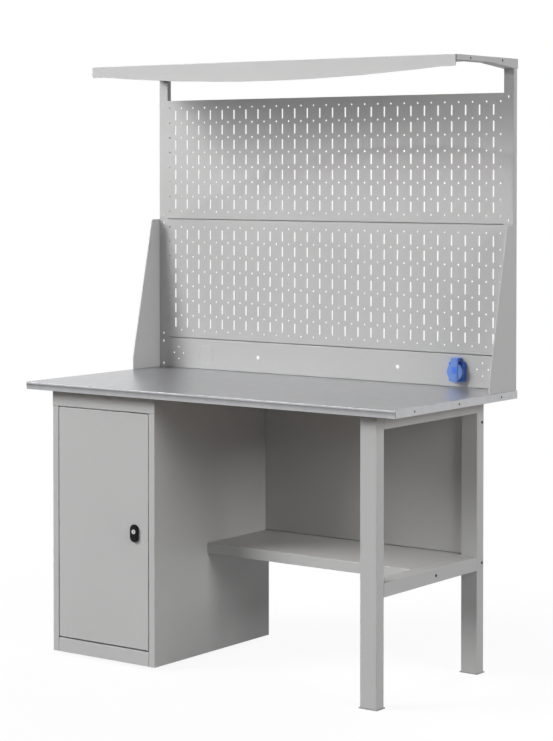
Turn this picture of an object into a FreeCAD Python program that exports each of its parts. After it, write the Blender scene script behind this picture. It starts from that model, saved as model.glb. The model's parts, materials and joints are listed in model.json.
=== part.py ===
import FreeCAD, Part
import math
import os
import types

import Sketcher

# A workbench: a steel-clad worktop on a lockable cabinet and a leg frame, with a back wall
# of two perforated panels, a socket strip, side cheeks and a canopy with a bowed apron.
# Frame: +Z up, front towards -Y, origin on the floor under the middle of the worktop.
# Every number below is a length in millimetres or a count, and drives the spreadsheet.
# Screws are six-sided heads, and the rounds of the socket and the feet are prisms.
SIZES = {
    # worktop
    "worktop_width": 1400,
    "worktop_depth": 682,
    "worktop_height": 865,
    "worktop_edge": 24,
    "skin_sheet": 1.5,
    "nose_radius": 2.5,
    "corner_slit": 1,
    "edge_screw_front": 104,
    "edge_screw_rear": 95,
    "edge_head_radius": 3.2,
    "edge_head_height": 1.2,
    "fit_clearance": 0.1,
    "fastener_sides": 6,
    # cabinet and its door
    "base_inset": 82.5,
    "base_front_inset": 35,
    "base_depth": 588,
    "cabinet_width": 418,
    "cabinet_lift": 11,
    "cabinet_sheet": 1.2,
    "stile_width": 23.5,
    "stile_return": 20,
    "rear_flange": 20,
    "bottom_rail": 44,
    "top_rail": 50,
    "rail_return": 22,
    "foot_inset": 70,
    "foot_radius": 16,
    "foot_pad": 6,
    "foot_stem_radius": 5,
    "foot_sides": 8,
    "inner_shelf_height": 440,
    "inner_shelf_flange": 25,
    "inner_shelf_setback": 60,
    "inner_shelf_play": 1.5,
    "clip_length": 30,
    "clip_height": 12,
    "clip_width": 12,
    "clip_inset": 90,
    "door_gap": 2.5,
    "door_bottom_gap": 4.5,
    "door_depth": 18,
    "door_lip": 14,
    "door_radius": 2,
    "pivot_inset": 14,
    "pivot_setback": 8,
    "pin_radius": 3,
    "pin_bore_radius": 3.53,
    "pin_reach": 9,
    "pin_seat": 12,
    "running_clearance": 0.05,
    # lock
    "lock_height": 423,
    "lock_inset": 52.5,
    "escutcheon_width": 30,
    "escutcheon_height": 54,
    "escutcheon_depth": 6.5,
    "escutcheon_drop": 5,
    "sleeve_radius": 10.4,
    "sleeve_bore_radius": 8.5,
    "sleeve_length": 21,
    "plug_radius": 7,
    "plug_proud": 1.5,
    "tail_radius": 5,
    "tail_length": 5.9,
    "keyway_width": 1.6,
    "keyway_length": 8,
    "keyway_depth": 5,
    "nut_radius": 15,
    "nut_thickness": 4,
    "cam_length": 66,
    "cam_width": 14,
    "cam_thickness": 2.5,
    "cam_chamfer": 4,
    "cam_gap": 0.4,
    # leg frame, shelf and back panel
    "leg_width": 58,
    "leg_depth": 38,
    "tube_wall": 2,
    "tube_radius": 3,
    "pad_thickness": 3.5,
    "pad_overhang": 2.5,
    "pad_plug": 12,
    "pad_play": 0.2,
    "rail_width": 53,
    "rail_height": 42,
    "shelf_height": 360,
    "shelf_depth": 324,
    "shelf_flange": 33,
    "shelf_rear_gap": 3,
    "shelf_sheet": 1.2,
    "back_panel_setback": 20,
    "back_panel_depth": 18,
    "back_panel_gap": 1.5,
    "back_panel_lift": 2,
    "frame_bolt_setback": 315,
    "frame_bolt_drop": 72,
    "frame_head_radius": 4.5,
    "frame_head_height": 2.5,
    # back wall
    "post_inset": 4,
    "post_width": 35,
    "post_depth": 18,
    "post_sheet": 1.5,
    "post_plate": 3,
    "post_slot": 14,
    "panel_inset": 5.5,
    "panel_height": 400,
    "panel_sheet": 1.2,
    "panel_gap": 3,
    "panel_return": 14,
    "panel_return_play": 2,
    "strip_height": 100,
    "strip_lift": 1.5,
    "mount_slot_inset": 16.5,
    "mount_slot_edge": 12,
    "mount_slot_width": 4.5,
    "mount_slot_length": 8,
    "hole_pitch": 50,
    "hole_columns": 27,
    "hole_rows": 8,
    "hole_radius": 3,
    "slot_length": 33,
    "slot_width": 5.5,
    "cheek_sheet": 2,
    "cheek_depth": 159,
    "cheek_heel": 42,
    "cheek_shoulder": 60,
    "cheek_rear_gap": 11,
    "cheek_top": 505,
    "cheek_chamfer": 6,
    "fitting_left_inset": 82.5,
    "fitting_right_inset": 106.5,
    "fitting_rise": 7.5,
    "fitting_circle": 20,
    "fitting_hole_radius": 2.75,
    "knockout_inset": 200.5,
    "knockout_radius": 30,
    "knockout_slit": 1,
    "knockout_tab": 5,
    "knockout_sides": 12,
    "cable_hole_inset": 419,
    "cable_hole_radius": 6.5,
    # canopy
    "canopy_top": 1875,
    "canopy_inset": 1,
    "canopy_depth": 360,
    "canopy_sheet": 1.5,
    "canopy_flange": 13,
    "apron_end": 35,
    "apron_flat": 54,
    "apron_sag": 27,
    "apron_radius": 5,
    "arm_front_gap": 4,
    "arm_front_height": 15,
    "arm_rear_height": 28,
    "arm_kink": 161,
    "arm_seat": 22,
    "arm_lip": 38,
    "canopy_screw_front": 276,
    "canopy_screw_rear": 92,
    "canopy_screw_drop": 7,
    "canopy_head_radius": 3.5,
    "canopy_head_height": 1.2,
    # socket
    "socket_inset": 194,
    "socket_drop": 3,
    "socket_width": 57,
    "socket_height": 61,
    "socket_depth": 10,
    "socket_corner": 6,
    "socket_sides": 24,
    "housing_width": 44,
    "housing_length": 17,
    "well_radius": 20,
    "well_depth": 22.5,
    "insert_thickness": 5,
    "insert_play": 0.1,
    "contact_spacing": 19,
    "contact_radius": 2.5,
    "clip_strip": 6,
    "clip_sheet": 0.8,
    "clip_reach": 13,
    "lid_radius": 28.5,
    "lid_thickness": 7,
    "lid_gap": 1,
    "band_width": 26,
    "band_proud": 6,
    "band_drop": 25,
    "hinge_rise": 37,
    "hinge_forward": 4.5,
    "hinge_radius": 6,
    "hinge_gap": 0.4,
    "knuckle_width": 14,
    "lid_pin_radius": 1.5,
    "ear_bore_radius": 1.7,
    "spring_sheet": 0.6,
    "spring_width": 10,
    "spring_height": 9,
    "spring_seat": 2,
}

doc = FreeCAD.newDocument("workbench")
sheet = doc.addObject("Spreadsheet::Sheet", "dims")
for row, (name, value) in enumerate(SIZES.items(), start=1):
    sheet.set(f"A{row}", name)
    sheet.set(f"B{row}", str(value))
    sheet.setAlias(f"B{row}", name)
doc.recompute()


class Size:
    """A length that carries its value and the spreadsheet expression it comes from."""

    def __init__(self, text, value):
        self.text = text
        self.value = value

    @staticmethod
    def of(item):
        return item if isinstance(item, Size) else Size(str(item), item)

    def __add__(self, other):
        other = Size.of(other)
        return Size(f"({self.text} + {other.text})", self.value + other.value)

    def __sub__(self, other):
        other = Size.of(other)
        return Size(f"({self.text} - {other.text})", self.value - other.value)

    def __mul__(self, other):
        other = Size.of(other)
        return Size(f"({self.text} * {other.text})", self.value * other.value)

    def __truediv__(self, other):
        other = Size.of(other)
        return Size(f"({self.text} / {other.text})", self.value / other.value)

    def __rmul__(self, other):
        return Size.of(other) * self

    def __neg__(self):
        return Size(f"(-{self.text})", -self.value)


D = types.SimpleNamespace(**{name: Size(f"dims.{name}", value) for name, value in SIZES.items()})
ZERO = Size.of(0)
AXES = {"X": FreeCAD.Vector(1, 0, 0), "Y": FreeCAD.Vector(0, 1, 0), "Z": FreeCAD.Vector(0, 0, 1)}
NODES = []


def place(item, corner):
    """Bind the position of an object to three expressions."""
    for axis, size in zip("xyz", corner):
        item.setExpression(f".Placement.Base.{axis}", Size.of(size).text)


def box(name, low, high):
    """Block between two opposite corners."""
    item = doc.addObject("Part::Box", name)
    for key, start, end in zip(("Length", "Width", "Height"), low, high):
        item.setExpression(key, (Size.of(end) - start).text)
    place(item, low)
    return item


def rod(name, radius, length, base, axis, sides=None):
    """Cylinder, or prism with that many sides, from base along +X, +Y or +Z."""
    item = doc.addObject("Part::Prism" if sides else "Part::Cylinder", name)
    if sides:
        item.setExpression("Polygon", sides.text)
    item.setExpression("Circumradius" if sides else "Radius", radius.text)
    item.setExpression("Height", length.text)
    turn = FreeCAD.Rotation(AXES["Z"], AXES[axis])
    item.Placement = FreeCAD.Placement(FreeCAD.Vector(), turn)
    place(item, base)
    return item


def compound(name, items):
    item = doc.addObject("Part::Compound", name)
    item.Links = items
    return item


def fuse(name, items):
    item = doc.addObject("Part::MultiFuse", name)
    item.Shapes = items
    item.Refine = True
    return item


def cut(name, base, tools):
    item = doc.addObject("Part::Cut", name)
    item.Base = base
    item.Tool = tools[0] if len(tools) == 1 else compound(name + "_tools", tools)
    item.Refine = True
    return item


def node(label, item):
    """Register an object as a finished sub-part."""
    item.Label = label
    NODES.append(item)
    return item


def plane(body, role):
    return [part for part in body.Origin.OriginFeatures if part.Role == role][0]


def body_at(name, corner):
    body = doc.addObject("PartDesign::Body", name)
    place(body, corner)
    return body


def add_edge(sketch, start, end, radius):
    """Add a line, or an arc with its centre on the left (radius > 0) or right of the way."""
    first = FreeCAD.Vector(start[0].value, start[1].value, 0)
    last = FreeCAD.Vector(end[0].value, end[1].value, 0)
    if radius is None:
        return sketch.addGeometry(Part.LineSegment(first, last)), (1, 2)
    size = abs(radius.value)
    chord = last - first
    left = FreeCAD.Vector(-chord.y, chord.x, 0).normalize() * math.copysign(1, radius.value)
    rise = math.sqrt(max(size * size - chord.Length * chord.Length / 4, 0))
    centre = (first + last) * 0.5 + left * rise
    circle = Part.Circle(centre, AXES["Z"], size)
    ends = (first, last) if radius.value > 0 else (last, first)
    angles = [math.atan2(end.y - centre.y, end.x - centre.x) for end in ends]
    arc = Part.ArcOfCircle(circle, angles[0], angles[1])
    return sketch.addGeometry(arc), ((1, 2) if radius.value > 0 else (2, 1))


def add_loop(sketch, loop):
    """Draw one closed loop of (x, y) or (x, y, radius of the arc to the next point)."""
    points = [tuple(Size.of(part) for part in point) for point in loop]
    edges = []
    for index, point in enumerate(points):
        after = points[(index + 1) % len(points)]
        radius = point[2] if len(point) == 3 else None
        edges.append(add_edge(sketch, point, after, radius) + (point, radius))
    for index, (edge, ends, point, radius) in enumerate(edges):
        after = edges[(index + 1) % len(edges)]
        sketch.addConstraint(Sketcher.Constraint("Coincident", edge, ends[1], after[0], after[1][0]))
        for kind, size in zip(("DistanceX", "DistanceY"), point):
            rule = Sketcher.Constraint(kind, -1, 1, edge, ends[0], size.value)
            sketch.setExpression(f"Constraints[{sketch.addConstraint(rule)}]", size.text)
        if radius is not None:
            span = radius if radius.value > 0 else -radius
            rule = Sketcher.Constraint("Radius", edge, span.value)
            sketch.setExpression(f"Constraints[{sketch.addConstraint(rule)}]", span.text)


def add_ring(sketch, radius, x, y):
    """Draw one full circle."""
    centre = FreeCAD.Vector(Size.of(x).value, Size.of(y).value, 0)
    edge = sketch.addGeometry(Part.Circle(centre, AXES["Z"], radius.value))
    for kind, size in (("DistanceX", Size.of(x)), ("DistanceY", Size.of(y))):
        rule = Sketcher.Constraint(kind, -1, 1, edge, 3, size.value)
        sketch.setExpression(f"Constraints[{sketch.addConstraint(rule)}]", size.text)
    rule = Sketcher.Constraint("Radius", edge, radius.value)
    sketch.setExpression(f"Constraints[{sketch.addConstraint(rule)}]", radius.text)


def sketch_on(body, role, loops, rings=(), offset=None):
    """Sketch on an origin plane of the body, moved along +X, +Y or +Z by an offset."""
    sketch = body.newObject("Sketcher::SketchObject", f"{body.Name}_sketch")
    sketch.AttachmentSupport = (plane(body, role), [""])
    sketch.MapMode = "FlatFace"
    if offset is not None:
        along = -offset if role == "XZ_Plane" else offset
        sketch.setExpression(".AttachmentOffset.Base.z", along.text)
    for loop in loops:
        add_loop(sketch, loop)
    for ring in rings:
        add_ring(sketch, *ring)
    return sketch


def pad(body, role, loops, length, rings=(), offset=None):
    """Pad a profile towards +X, +Y or +Z."""
    sketch = sketch_on(body, role, loops, rings, offset)
    feature = body.newObject("PartDesign::Pad", f"{body.Name}_pad")
    feature.Profile = sketch
    feature.setExpression("Length", Size.of(length).text)
    feature.Reversed = role == "XZ_Plane"
    body.Tip = feature
    return feature


def prism(name, corner, role, loops, length, rings=()):
    body = body_at(name, corner)
    pad(body, role, loops, length, rings)
    return body


def rectangle(x0, y0, x1, y1):
    return [(x0, y0), (x1, y0), (x1, y1), (x0, y1)]


def rounded(x0, y0, x1, y1, radius):
    """Rectangle with four rounded corners, drawn counter-clockwise."""
    x0, y0, x1, y1 = (Size.of(side) for side in (x0, y0, x1, y1))
    return [
        (x0 + radius, y0),
        (x1 - radius, y0, radius),
        (x1, y0 + radius),
        (x1, y1 - radius, radius),
        (x1 - radius, y1),
        (x0 + radius, y1, radius),
        (x0, y1 - radius),
        (x0, y0 + radius, radius),
    ]


def head(name, radius, height, seat, side):
    """Six-sided screw head on a face that looks towards +X (side 1) or -X (side -1)."""
    x, y, z = seat
    start = x if side > 0 else x - height
    return rod(name, radius, height, (start, y, z), "X", D.fastener_sides)


def hex_hole(name, radius, length, base, axis):
    """Tool for a six-sided hole that takes a six-sided piece of that radius with a clearance."""
    return rod(name, radius + D.fit_clearance, length, base, axis, D.fastener_sides)


# Reference lines of the whole bench
LEFT = -D.worktop_width / 2
RIGHT = D.worktop_width / 2
FRONT = -D.worktop_depth / 2
BACK = D.worktop_depth / 2
TOP = D.worktop_height
UNDER = TOP - D.worktop_edge
BASE_LEFT = LEFT + D.base_inset
BASE_RIGHT = RIGHT - D.base_inset
BASE_FRONT = FRONT + D.base_front_inset
BASE_BACK = BASE_FRONT + D.base_depth
SIDES = (("left", -1), ("right", 1))


def edge_screw_spots():
    """Three screws in each side flange, evenly spaced from front to rear."""
    first = FRONT + D.edge_screw_front
    last = BACK - D.edge_screw_rear
    return [first, (first + last) / 2, last]


# Worktop: a board in a folded steel tray
EDGE_Z = TOP - D.worktop_edge / 2


def build_worktop():
    skin = body_at("skin_body", (LEFT, FRONT, UNDER))
    sheet_in = D.worktop_depth - D.skin_sheet
    high = D.worktop_edge
    low_top = D.worktop_edge - D.skin_sheet
    inner = D.nose_radius - D.skin_sheet
    section = [
        (ZERO, ZERO),
        (D.skin_sheet, ZERO),
        (D.skin_sheet, high - D.nose_radius, -inner),
        (D.nose_radius, low_top),
        (sheet_in, low_top),
        (sheet_in, ZERO),
        (D.worktop_depth, ZERO),
        (D.worktop_depth, high),
        (D.nose_radius, high, D.nose_radius),
        (ZERO, high - D.nose_radius),
    ]
    pad(skin, "YZ_Plane", [section], D.worktop_width)
    side = rectangle(D.nose_radius + D.corner_slit, ZERO, sheet_in, low_top)
    pad(skin, "YZ_Plane", [side], D.skin_sheet)
    pad(skin, "YZ_Plane", [side], D.skin_sheet, offset=D.worktop_width - D.skin_sheet)
    board_low = (LEFT + D.skin_sheet, FRONT + D.nose_radius, UNDER)
    board_high = (RIGHT - D.skin_sheet, BACK - D.skin_sheet, TOP - D.skin_sheet)
    node("worktop_skin", skin)
    node("worktop_board", box("worktop_board", board_low, board_high))
    heads = []
    for word, side in SIDES:
        for index, y in enumerate(edge_screw_spots()):
            seat = (side * RIGHT, y, EDGE_Z)
            name = f"edge_screw_{word}_{index}"
            heads.append(head(name, D.edge_head_radius, D.edge_head_height, seat, side))
    node("worktop_edge_screws", compound("worktop_edge_screws", heads))


CAB_LEFT = BASE_LEFT
CAB_RIGHT = BASE_LEFT + D.cabinet_width
FLOOR_Z = D.cabinet_lift + D.bottom_rail


# Cabinet: folded sides, back, floor pan, top pan, inner shelf and feet
def build_cabinet():
    t = D.cabinet_sheet
    height = UNDER - D.cabinet_lift
    for word, side in SIDES:
        outer = [
            (ZERO, ZERO),
            (D.stile_width, ZERO),
            (D.stile_width, D.stile_return),
            (D.stile_width - t, D.stile_return),
            (D.stile_width - t, t),
            (t, t),
            (t, D.base_depth - t),
            (D.rear_flange, D.base_depth - t),
            (D.rear_flange, D.base_depth),
            (ZERO, D.base_depth),
        ]
        if side > 0:
            outer = [(-x, y) for x, y in reversed(outer)]
        corner = CAB_LEFT if side < 0 else CAB_RIGHT
        wall = prism(f"side_{word}_body", (corner, BASE_FRONT, D.cabinet_lift), "XY_Plane", [outer], height)
        inside = corner - side * t
        stile = corner - side * D.stile_width
        flange = corner - side * D.rear_flange
        rail = UNDER - D.top_rail
        lid = UNDER - t
        spans = (
            ("front", stile, BASE_FRONT, BASE_FRONT + t, rail, corner),
            ("return", stile, BASE_FRONT + t, BASE_FRONT + D.rail_return, rail, inside),
            ("lid", inside, BASE_FRONT, BASE_BACK, lid, corner),
            ("rear", flange, BASE_BACK - t, BASE_BACK, lid, corner),
        )
        notches = []
        for name, inner, near, far, low, outside in spans:
            ends = (outside, inner) if side < 0 else (inner, outside)
            notches.append(box(f"{name}_notch_{word}", (ends[0], near, low), (ends[1], far, UNDER)))
        node(f"cabinet_side_{word}", cut(f"cabinet_side_{word}", wall, notches))

    back_low = (CAB_LEFT + t, BASE_BACK - 2 * t, D.cabinet_lift)
    node("cabinet_back", box("cabinet_back", back_low, (CAB_RIGHT - t, BASE_BACK - t, UNDER - t)))

    run = D.base_depth - 2 * t
    floor = prism(
        "floor_body", (CAB_LEFT + D.stile_width, BASE_FRONT, D.cabinet_lift), "YZ_Plane",
        [[(ZERO, ZERO), (D.rail_return, ZERO), (D.rail_return, t), (t, t), (t, D.bottom_rail - t),
          (run, D.bottom_rail - t), (run, D.bottom_rail), (ZERO, D.bottom_rail)]],
        D.cabinet_width - 2 * D.stile_width)
    wing_low = (CAB_LEFT + t, BASE_FRONT + D.stile_return, FLOOR_Z - t)
    wings = box("floor_wings", wing_low, (CAB_RIGHT - t, BASE_FRONT + run, FLOOR_Z))
    pin_hole = D.pin_radius + D.running_clearance
    x, y = PIVOT
    low_hole = rod("floor_pin_hole", pin_hole, t, (x, y, FLOOR_Z - t), "Z")
    node("cabinet_floor", cut("cabinet_floor", fuse("floor_sheet", [floor, wings]), [low_hole]))

    top = body_at("top_body", (CAB_LEFT, BASE_FRONT, UNDER - D.top_rail))
    fold = [
        (ZERO, ZERO),
        (t, ZERO),
        (t, D.top_rail - t),
        (D.base_depth, D.top_rail - t),
        (D.base_depth, D.top_rail),
        (ZERO, D.top_rail),
    ]
    pad(top, "YZ_Plane", [fold], D.cabinet_width)
    lip = rectangle(t, ZERO, D.rail_return, t)
    pad(top, "YZ_Plane", [lip], D.cabinet_width - 2 * t, offset=t)
    high_hole = rod("top_pin_hole", pin_hole, t, (x, y, UNDER - D.top_rail), "Z")
    node("cabinet_top", cut("cabinet_top", top, [high_hole]))

    shelf_low = BASE_FRONT + D.inner_shelf_setback
    depth = BASE_BACK - 2 * t - D.inner_shelf_play - shelf_low
    drop = -D.inner_shelf_flange
    shelf_x = CAB_LEFT + t + D.inner_shelf_play
    shelf = prism(
        "inner_shelf_body", (shelf_x, shelf_low, D.inner_shelf_height), "YZ_Plane",
        [[(ZERO, drop), (t, drop), (t, -t), (depth - t, -t), (depth - t, drop), (depth, drop),
          (depth, ZERO), (ZERO, ZERO)]],
        D.cabinet_width - 2 * t - 2 * D.inner_shelf_play)
    node("cabinet_shelf", shelf)

    clips = []
    clip_top = D.inner_shelf_height - t
    for word, side in SIDES:
        wall_x = CAB_LEFT + t if side < 0 else CAB_RIGHT - t - D.clip_width
        for y in (shelf_low + D.clip_inset, shelf_low + depth - D.clip_inset - D.clip_length):
            angle = [(ZERO, ZERO), (t, ZERO), (t, D.clip_height - t), (D.clip_width, D.clip_height - t),
                     (D.clip_width, D.clip_height), (ZERO, D.clip_height)]
            if side > 0:
                angle = [(D.clip_width - across, z) for across, z in reversed(angle)]
            corner = (wall_x, y, clip_top - D.clip_height)
            clips.append(prism(f"clip_{word}_{len(clips)}", corner, "XZ_Plane", [angle], D.clip_length))
    node("cabinet_shelf_clips", compound("cabinet_shelf_clips", clips))

    feet = []
    stem = FLOOR_Z - t
    for x in (CAB_LEFT + D.foot_inset, CAB_RIGHT - D.foot_inset):
        for y in (BASE_FRONT + D.foot_inset, BASE_BACK - D.foot_inset):
            name = f"foot_{len(feet)}"
            disc = rod(name + "_pad", D.foot_radius, D.foot_pad, (x, y, ZERO), "Z", D.foot_sides)
            post = rod(name + "_stem", D.foot_stem_radius, stem, (x, y, ZERO), "Z", D.foot_sides)
            feet.append(fuse(name, [disc, post]))
    node("cabinet_feet", compound("cabinet_feet", feet))


# Door: a folded pan on two pivot pins, with a cam lock
DOOR_LEFT = CAB_LEFT + D.stile_width + D.door_gap
DOOR_RIGHT = CAB_RIGHT - D.stile_width - D.door_gap
DOOR_LOW = FLOOR_Z + D.door_bottom_gap
DOOR_HIGH = UNDER - D.top_rail - D.door_gap
DOOR_BACK = BASE_FRONT + D.door_depth
PIVOT = (DOOR_LEFT + D.pivot_inset, BASE_FRONT + D.pivot_setback)
LOCK_X = DOOR_RIGHT - D.lock_inset
LOCK_Z = D.lock_height
LOCK_FACE = BASE_FRONT - D.escutcheon_depth


def build_door():
    t = D.cabinet_sheet
    panel = body_at("door_body", (DOOR_LEFT, BASE_FRONT, DOOR_LOW))
    width = DOOR_RIGHT - DOOR_LEFT
    height = DOOR_HIGH - DOOR_LOW
    block = pad(panel, "XZ_Plane", [rectangle(ZERO, ZERO, width, height)], D.door_depth)
    doc.recompute()
    front = [f"Edge{index}" for index, edge in enumerate(block.Shape.Edges, start=1)
             if edge.BoundBox.YMax - block.Shape.BoundBox.YMin < edge.Length * 1e-6]
    round_over = panel.newObject("PartDesign::Fillet", "door_round")
    round_over.Base = (block, front)
    round_over.setExpression("Radius", D.door_radius.text)
    panel.Tip = round_over
    hollow = box("door_hollow", (DOOR_LEFT + t, BASE_FRONT + t, DOOR_LOW + t),
                 (DOOR_RIGHT - t, DOOR_BACK - t, DOOR_HIGH - t))
    window = box("door_window", (DOOR_LEFT + D.door_lip, DOOR_BACK - 2 * t, DOOR_LOW + D.door_lip),
                 (DOOR_RIGHT - D.door_lip, DOOR_BACK, DOOR_HIGH - D.door_lip))
    x, y = PIVOT
    tools = [hollow, window]
    pins = []
    for word, start, flange in (("low", DOOR_LOW - D.pin_reach, DOOR_LOW),
                                ("high", DOOR_HIGH - D.pin_seat, DOOR_HIGH - t)):
        tools.append(rod(f"door_pin_bore_{word}", D.pin_bore_radius, t, (x, y, flange), "Z",
                         D.fastener_sides))
        pins.append(rod(f"pin_{word}", D.pin_radius, D.pin_reach + D.pin_seat, (x, y, start), "Z"))
    node("door_pivot_pins", compound("door_pivot_pins", pins))
    tools.append(hex_hole("door_lock_hole", D.sleeve_radius, t, (LOCK_X, BASE_FRONT, LOCK_Z), "Y"))
    node("door", cut("door", panel, tools))


def build_lock():
    half = D.escutcheon_width / 2
    mid = D.escutcheon_height / 2
    flat = mid - half
    oval = [(half, -flat), (half, flat, half), (ZERO, mid, half), (-half, flat), (-half, -flat, half),
            (ZERO, -mid, half)]
    bore = D.plug_radius + D.running_clearance
    shield = body_at("shield_body", (LOCK_X, LOCK_FACE, LOCK_Z - D.escutcheon_drop))
    pad(shield, "XZ_Plane", [oval], D.escutcheon_depth, rings=[(bore, ZERO, D.escutcheon_drop)])
    sides = D.fastener_sides
    root = (LOCK_X, BASE_FRONT, LOCK_Z)
    outer = rod("sleeve_outer", D.sleeve_radius, D.sleeve_length, root, "Y", sides)
    inner = rod("sleeve_inner", D.sleeve_bore_radius, D.sleeve_length, root, "Y", sides)
    sleeve = cut("sleeve", outer, [inner])
    node("lock_escutcheon", fuse("lock_escutcheon", [shield, sleeve]))

    back = (LOCK_X, BASE_FRONT + D.cabinet_sheet, LOCK_Z)
    blank = rod("nut_blank", D.nut_radius, D.nut_thickness, back, "Y", sides)
    eye = hex_hole("nut_eye", D.sleeve_radius, D.nut_thickness, back, "Y")
    node("lock_nut", cut("lock_nut", blank, [eye]))

    nose = LOCK_FACE - D.plug_proud
    sleeve_end = BASE_FRONT + D.sleeve_length
    plug = rod("plug_blank", D.plug_radius, sleeve_end - nose, (LOCK_X, nose, LOCK_Z), "Y")
    tail = rod("plug_tail", D.tail_radius, D.tail_length, (LOCK_X, sleeve_end, LOCK_Z), "Y", sides)
    slot_x = D.keyway_width / 2
    slot_z = D.keyway_length / 2
    keyway = box("keyway", (LOCK_X - slot_x, nose, LOCK_Z - slot_z),
                 (LOCK_X + slot_x, nose + D.keyway_depth, LOCK_Z + slot_z))
    node("lock_plug", cut("lock_plug", fuse("plug_solid", [plug, tail]), [keyway]))

    wing = D.cam_width / 2
    tip = D.cam_chamfer
    low = -D.cam_length
    bar = [(-wing, wing - tip), (-wing, low + tip), (tip - wing, low), (wing - tip, low), (wing, low + tip),
           (wing, wing - tip), (wing - tip, wing), (tip - wing, wing)]
    seat = (LOCK_X, sleeve_end + D.cam_gap, LOCK_Z)
    cam = body_at("cam_body", seat)
    pad(cam, "XZ_Plane", [bar], D.cam_thickness)
    eye = hex_hole("cam_eye", D.tail_radius, D.cam_thickness, seat, "Y")
    node("lock_cam", cut("lock_cam", cam, [eye]))


# Leg frame: two tube legs on foot pads, joined by two rails
LEG_LEFT = BASE_RIGHT - D.leg_width
RAIL_LEFT = BASE_RIGHT - D.rail_width
PAN_FRONT = BASE_BACK - D.back_panel_setback
REAR_Y = PAN_FRONT + D.back_panel_depth / 2


def tube(name, corner, role, width, height, length, outer):
    """Rectangular tube with the given outline and a plain inside."""
    w = D.tube_wall
    return prism(name, corner, role, [outer, rectangle(w, w, width - w, height - w)], length)


def frame_bolt_spots():
    """Places on the outer face of the three bolts of the leg frame."""
    shelf_z = D.shelf_height - D.rail_height / 2
    return [
        (BASE_FRONT + D.frame_bolt_setback, shelf_z),
        (REAR_Y, shelf_z),
        (REAR_Y, UNDER - D.frame_bolt_drop),
    ]


def build_leg_frame():
    legs = {"front_leg": BASE_FRONT, "rear_leg": BASE_BACK - D.leg_depth}
    bolts = []
    for index, (y, z) in enumerate(frame_bolt_spots()):
        seat = (BASE_RIGHT, y, z)
        bolts.append(head(f"frame_bolt_{index}", D.frame_head_radius, D.frame_head_height, seat, 1))
    node("frame_bolts", compound("frame_bolts", bolts))
    for word, y in legs.items():
        outline = rounded(ZERO, ZERO, D.leg_width, D.leg_depth, D.tube_radius)
        leg = tube(word + "_tube", (LEG_LEFT, y, D.pad_thickness), "XY_Plane", D.leg_width,
                   D.leg_depth, UNDER - D.pad_thickness, outline)
        node(word, leg)
        over = D.pad_overhang
        low = (LEG_LEFT - over, y - over, ZERO)
        plate = box(word + "_plate", low, (BASE_RIGHT + over, y + D.leg_depth + over, D.pad_thickness))
        inset = D.tube_wall + D.pad_play
        plug = box(word + "_plug", (LEG_LEFT + inset, y + inset, ZERO),
                   (BASE_RIGHT - inset, y + D.leg_depth - inset, D.pad_thickness + D.pad_plug))
        node(word.replace("leg", "foot"), fuse(word.replace("leg", "foot"), [plate, plug]))

    rail_y = BASE_FRONT + D.leg_depth
    run = D.base_depth - 2 * D.leg_depth
    outline = rectangle(ZERO, ZERO, D.rail_width, D.rail_height)
    for word, top in (("lower_rail", D.shelf_height), ("upper_rail", UNDER)):
        rail = tube(word + "_tube", (RAIL_LEFT, rail_y, top - D.rail_height), "XZ_Plane",
                    D.rail_width, D.rail_height, run, outline)
        node(word, rail)

    t = D.shelf_sheet
    low_z = D.shelf_height - D.shelf_flange
    rear = BASE_BACK - D.shelf_rear_gap
    front = rear - D.shelf_depth
    tray = box("shelf_blank", (CAB_RIGHT, front, low_z), (RAIL_LEFT, rear, D.shelf_height))
    inside = box("shelf_inside", (CAB_RIGHT + t, front + t, low_z),
                 (RAIL_LEFT - t, rear - t, D.shelf_height - t))
    gap = D.back_panel_gap
    notch = box("shelf_notch", (LEG_LEFT - gap, BASE_BACK - D.leg_depth - gap, low_z),
                (RAIL_LEFT, rear, D.shelf_height))
    node("lower_shelf", cut("lower_shelf", tray, [inside, notch]))

    low = (CAB_RIGHT, PAN_FRONT, D.shelf_height + D.back_panel_lift)
    high = (LEG_LEFT - gap, PAN_FRONT + D.back_panel_depth, UNDER)
    pan = box("back_blank", low, high)
    inner = box("back_inside", (low[0] + t, low[1] + t, low[2] + t), (high[0] - t, high[1], high[2] - t))
    node("back_panel", cut("back_panel", pan, [inner]))


# Back wall: posts, perforated panels, socket strip and cheeks
POST_FACE = BACK - D.post_depth
ARM_SEAT_Z = D.canopy_top - D.canopy_sheet - D.arm_rear_height
STRIP_LOW = TOP + D.strip_lift
LOWER_LOW = STRIP_LOW + D.strip_height + D.panel_gap
UPPER_LOW = LOWER_LOW + D.panel_height + D.panel_gap
SHEETS = (("strip", STRIP_LOW, D.strip_height), ("lower", LOWER_LOW, D.panel_height),
          ("upper", UPPER_LOW, D.panel_height))
PANEL_FACE = POST_FACE - D.panel_sheet
SHEET_LEFT = LEFT + D.panel_inset
SHEET_RIGHT = RIGHT - D.panel_inset
SLOT_X = SHEET_RIGHT - D.mount_slot_inset


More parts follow.
